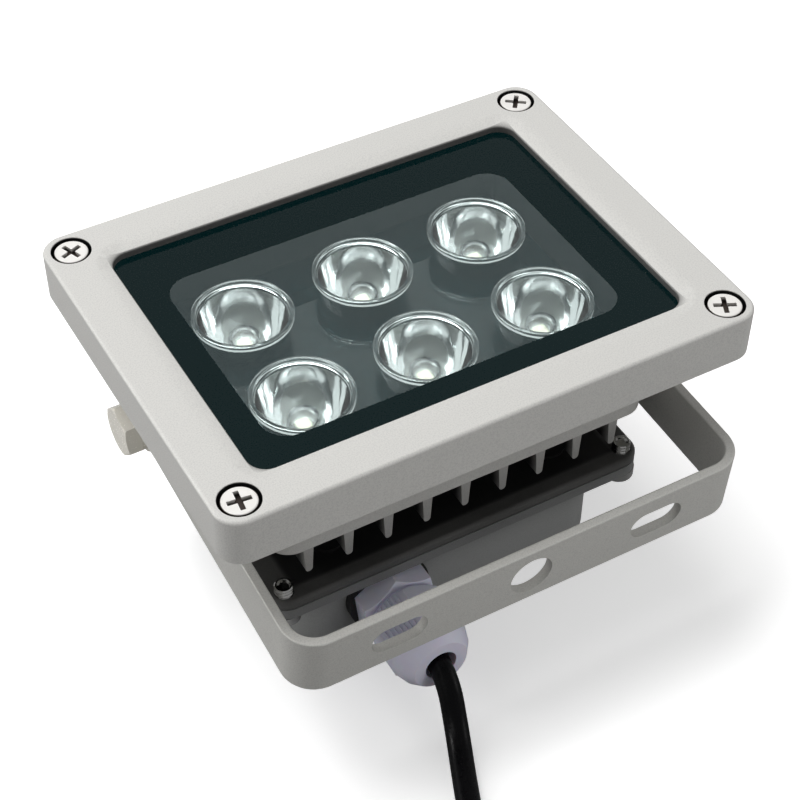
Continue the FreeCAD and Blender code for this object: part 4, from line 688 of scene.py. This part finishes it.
# The end of a box screw, above the box's depth: where the plain screw is cut off, the foot and top of
# the thread, the number of ridges and their pitch, the radii at root and ridge, the hollow in the end, and
# each ridge's steps down to the next.
SCREW_CUT = 4.3
THREAD_FOOT = 4.2
THREAD_TOP = 7.0
THREAD_RIDGES = 4
THREAD_PITCH = 0.8
THREAD_ROOT = 1.5
THREAD_RIDGE = 1.95
THREAD_END = ((0, 6.4), (1.1, 6.4), (1.4, THREAD_TOP), (1.7, THREAD_TOP))
THREAD_STEPS = ((THREAD_RIDGE, 0.2), (THREAD_RIDGE, 0.32), (THREAD_ROOT, 0.6), (THREAD_ROOT, 0.68))
CUTTER = 6.0


def thread_rings():
    """Radius and height from the hollow in the end down over the ridges to the foot."""
    rings = list(THREAD_END)
    level = THREAD_TOP
    for _ in range(THREAD_RIDGES):
        rings += [(radius, level - drop) for radius, drop in THREAD_STEPS]
        level -= THREAD_PITCH
    return [*rings, (THREAD_ROOT, THREAD_FOOT), (0, THREAD_FOOT)]


def make_cover_screws():
    """The box's screws from below, with thread ridges on the ends that stand up through the plate."""
    for number, (across, along) in enumerate(COVER_SCREWS, start=1):
        node = "cover_screw_%d" % number
        screw = copy_of_node(node, "box_screw_%d" % number)
        rings = reversed(thread_rings())
        tip = turned("thread", [(radius, COVER_DEPTH + height) for radius, height in rings], 48)
        tip.location = (across * MM, along * MM, 0)
        middle = (across, along, COVER_DEPTH + SCREW_CUT + CUTTER / 2)
        cut(screw, block("shorten_tool", (CUTTER, CUTTER, CUTTER), middle))
        screw = joined(screw, fix_place(tip))
        smooth(screw, 35)
        settle(screw, node)


def turn_round(screw, degrees):
    """Turns a standing screw about its own axis."""
    corners = [Vector(corner) for corner in screw.bound_box]
    middle = screw.matrix_world @ (sum(corners, Vector()) / 8)
    pick_only(screw)
    bpy.ops.object.mode_set(mode="EDIT")
    bpy.ops.mesh.select_all(action="SELECT")
    bpy.ops.transform.rotate(value=math.radians(degrees), orient_axis="Z", orient_type="GLOBAL",
                             center_override=middle)
    bpy.ops.object.mode_set(mode="OBJECT")


def make_fasteners():
    """Bezel screws, pivot bolts and their washers with softened edges."""
    for number in range(1, 5):
        node = "bezel_screw_%d" % number
        screw = copy_of_node(node, "face_screw_%d" % number)
        turn_round(screw, BEZEL_SCREW_TURNS[number - 1])
        soften(screw, 0.08)
        smooth(screw)
        settle(screw, node)
        screw.data.materials[0] = MATERIALS["screw_face"]
    for side in ("left", "right"):
        for node, name, width in (
            ("pivot_bolt_", "hexagon_bolt_", 0.18),
            ("flat_washer_", "plain_washer_", 0.12),
            ("spring_washer_", "split_washer_", 0.15),
        ):
            settle(softened_copy(node + side, name + side, width), node + side)


# The cable.


def coil_points():
    """Turns of the put-away cable, clockwise from above, as points a sixteenth of a turn apart."""
    points = []
    last = COIL_STEPS[-1][0]
    count = int(last * COIL_POINTS_PER_TURN)
    for number in range(count + 1):
        turn = number / COIL_POINTS_PER_TURN
        for before, after in zip(COIL_STEPS, COIL_STEPS[1:]):
            if before[0] <= turn <= after[0]:
                share = (turn - before[0]) / (after[0] - before[0])
                share = share * share * (3 - 2 * share)
                radius = before[1] + (after[1] - before[1]) * share
                height = before[2] + (after[2] - before[2]) * share
        angle = -2 * math.pi * turn
        points.append((
            COIL_CENTRE[0] + radius * math.cos(angle),
            COIL_CENTRE[1] + radius * math.sin(angle),
            height,
        ))
    return points


def make_connector():
    return settle(softened_copy("dc_connector", "barrel_connector", 0.2), "dc_connector")


def make_cable():
    connector = make_connector()
    curve = bpy.data.curves.new("power_cable", "CURVE")
    curve.dimensions = "3D"
    points = [*CABLE_ROUTE, *coil_points(), *CABLE_TAIL_ROUTE]
    spline = curve.splines.new("NURBS")
    spline.points.add(len(points) - 1)
    for control, point in zip(spline.points, points):
        control.co = (*[value * MM for value in point], 1.0)
    spline.order_u = 3
    spline.use_endpoint_u = True
    spline.resolution_u = 8
    curve.bevel_depth = CABLE_RADIUS * MM
    curve.bevel_resolution = 6
    curve.use_fill_caps = True
    cable = bpy.data.objects.new("power_cable", curve)
    bpy.context.scene.collection.objects.link(cable)
    put_on(cable, "cable_jacket")
    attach(cable, HOUSING)
    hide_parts("cable", "cable_coil", "cable_tail")
    return cable


# Stage, light and camera.


def make_stage():
    """A pale floor: white to the camera but for its shadow, and greyer in what it throws back."""
    floor = lone(bpy.ops.mesh.primitive_plane_add, "floor", size=8.0, location=(0, 0, 0))
    finish = Finish("pale_floor")
    finish.set(Roughness=0.9, Specular_IOR_Level=0.1)
    path = finish.nodes.new("ShaderNodeLightPath")
    speckle = finish.ramp(finish.noise(3.0, 2.0), (0.3, shade(240, 240, 240)), (0.7, shade(244, 244, 244)))
    tint = finish.nodes.new("ShaderNodeMix")
    tint.data_type = "RGBA"
    tint.inputs["A"].default_value = FLOOR_BOUNCE
    finish.join(path.outputs["Is Camera Ray"], tint.inputs["Factor"])
    finish.join(speckle, tint.inputs["B"])
    finish.join(tint.outputs["Result"], finish.shader.inputs["Base Color"])
    far = finish.fade(finish.away_from((0.0, 0.0)), FAR_FLOOR[1], FAR_FLOOR[0])
    glow = finish.reckon("ADD", finish.product(far, FAR_GLOW), FLOOR_GLOW)
    glow = finish.product(path.outputs["Is Camera Ray"], glow)
    finish.join(glow, finish.shader.inputs["Emission Strength"])
    finish.set(Emission_Color=(1, 1, 1, 1))
    floor.data.materials.append(finish.material)
    return floor


def make_world():
    """White to the camera and through the lenses and glass, and a low light from all sides otherwise."""
    world = bpy.data.worlds.new("studio")
    bpy.context.scene.world = world
    world.use_nodes = True
    nodes = world.node_tree.nodes
    links = world.node_tree.links
    nodes.clear()
    path = nodes.new("ShaderNodeLightPath")
    soft = nodes.new("ShaderNodeBackground")
    soft.inputs["Color"].default_value = (1, 1, 1, 1)
    soft.inputs["Strength"].default_value = WORLD_LIGHT
    white = nodes.new("ShaderNodeBackground")
    white.inputs["Color"].default_value = (1, 1, 1, 1)
    white.inputs["Strength"].default_value = 1.0
    seen = nodes.new("ShaderNodeMath")
    seen.operation = "MAXIMUM"
    mix = nodes.new("ShaderNodeMixShader")
    output = nodes.new("ShaderNodeOutputWorld")
    links.new(path.outputs["Is Camera Ray"], seen.inputs[0])
    links.new(path.outputs["Is Transmission Ray"], seen.inputs[1])
    links.new(seen.outputs["Value"], mix.inputs["Fac"])
    links.new(soft.outputs["Background"], mix.inputs[1])
    links.new(white.outputs["Background"], mix.inputs[2])
    links.new(mix.outputs["Shader"], output.inputs["Surface"])


def softbox(name, place, aim, size, power, mirrored):
    """A rectangular lamp, left out of reflections unless it is meant to be seen in them."""
    light = bpy.data.lights.new(name, "AREA")
    light.shape = "RECTANGLE"
    light.size, light.size_y = size
    light.energy = power
    lamp = bpy.data.objects.new(name, light)
    bpy.context.scene.collection.objects.link(lamp)
    lamp.location = place
    lamp.rotation_euler = (Vector(aim) - Vector(place)).to_track_quat("-Z", "Y").to_euler()
    lamp.visible_glossy = mirrored
    return lamp


# Each lamp's name, place and aim in metres, size, power, and whether glossy pieces mirror it.
SOFTBOXES = (
    ("top_softbox", (-0.18, 0.42, 1.05), (0, 0, 0.04), (0.9, 0.6), 12.0, False),
    ("front_softbox", (0.30, -0.90, 0.35), (0, 0, 0.04), (0.6, 0.4), 1.75, False),
    ("right_softbox", (0.9, -0.35, 0.35), (0, 0, 0.04), (0.4, 0.3), 0.6, True),
    ("left_softbox", (-0.85, 0.05, 0.75), (0, 0, 0.06), (0.5, 0.5), 1.2, True),
    ("low_left_softbox", (-0.75, 0.50, 0.30), (-0.06, 0, 0.05), (0.25, 0.2), 1.6, True),
)


def make_lights():
    for lamp in SOFTBOXES:
        softbox(*lamp)


def make_camera():
    camera = bpy.data.objects.new("photo_camera", bpy.data.cameras.new("photo_camera"))
    bpy.context.scene.collection.objects.link(camera)
    camera.data.lens = CAMERA_LENS
    camera.data.sensor_width = SENSOR_WIDTH
    camera.data.clip_start = 0.01
    camera.location = CAMERA_PLACE
    camera.rotation_euler = [math.radians(turn) for turn in CAMERA_TURN]
    bpy.context.scene.camera = camera


make_camera()
make_cable()
dress_nodes()
make_castings()
make_lens_plate()
make_lenses()
make_emitters()
make_gland()
make_cover_screws()
make_fasteners()
make_stage()
make_world()
make_lights()
bpy.context.scene.view_settings.view_transform = "Standard"
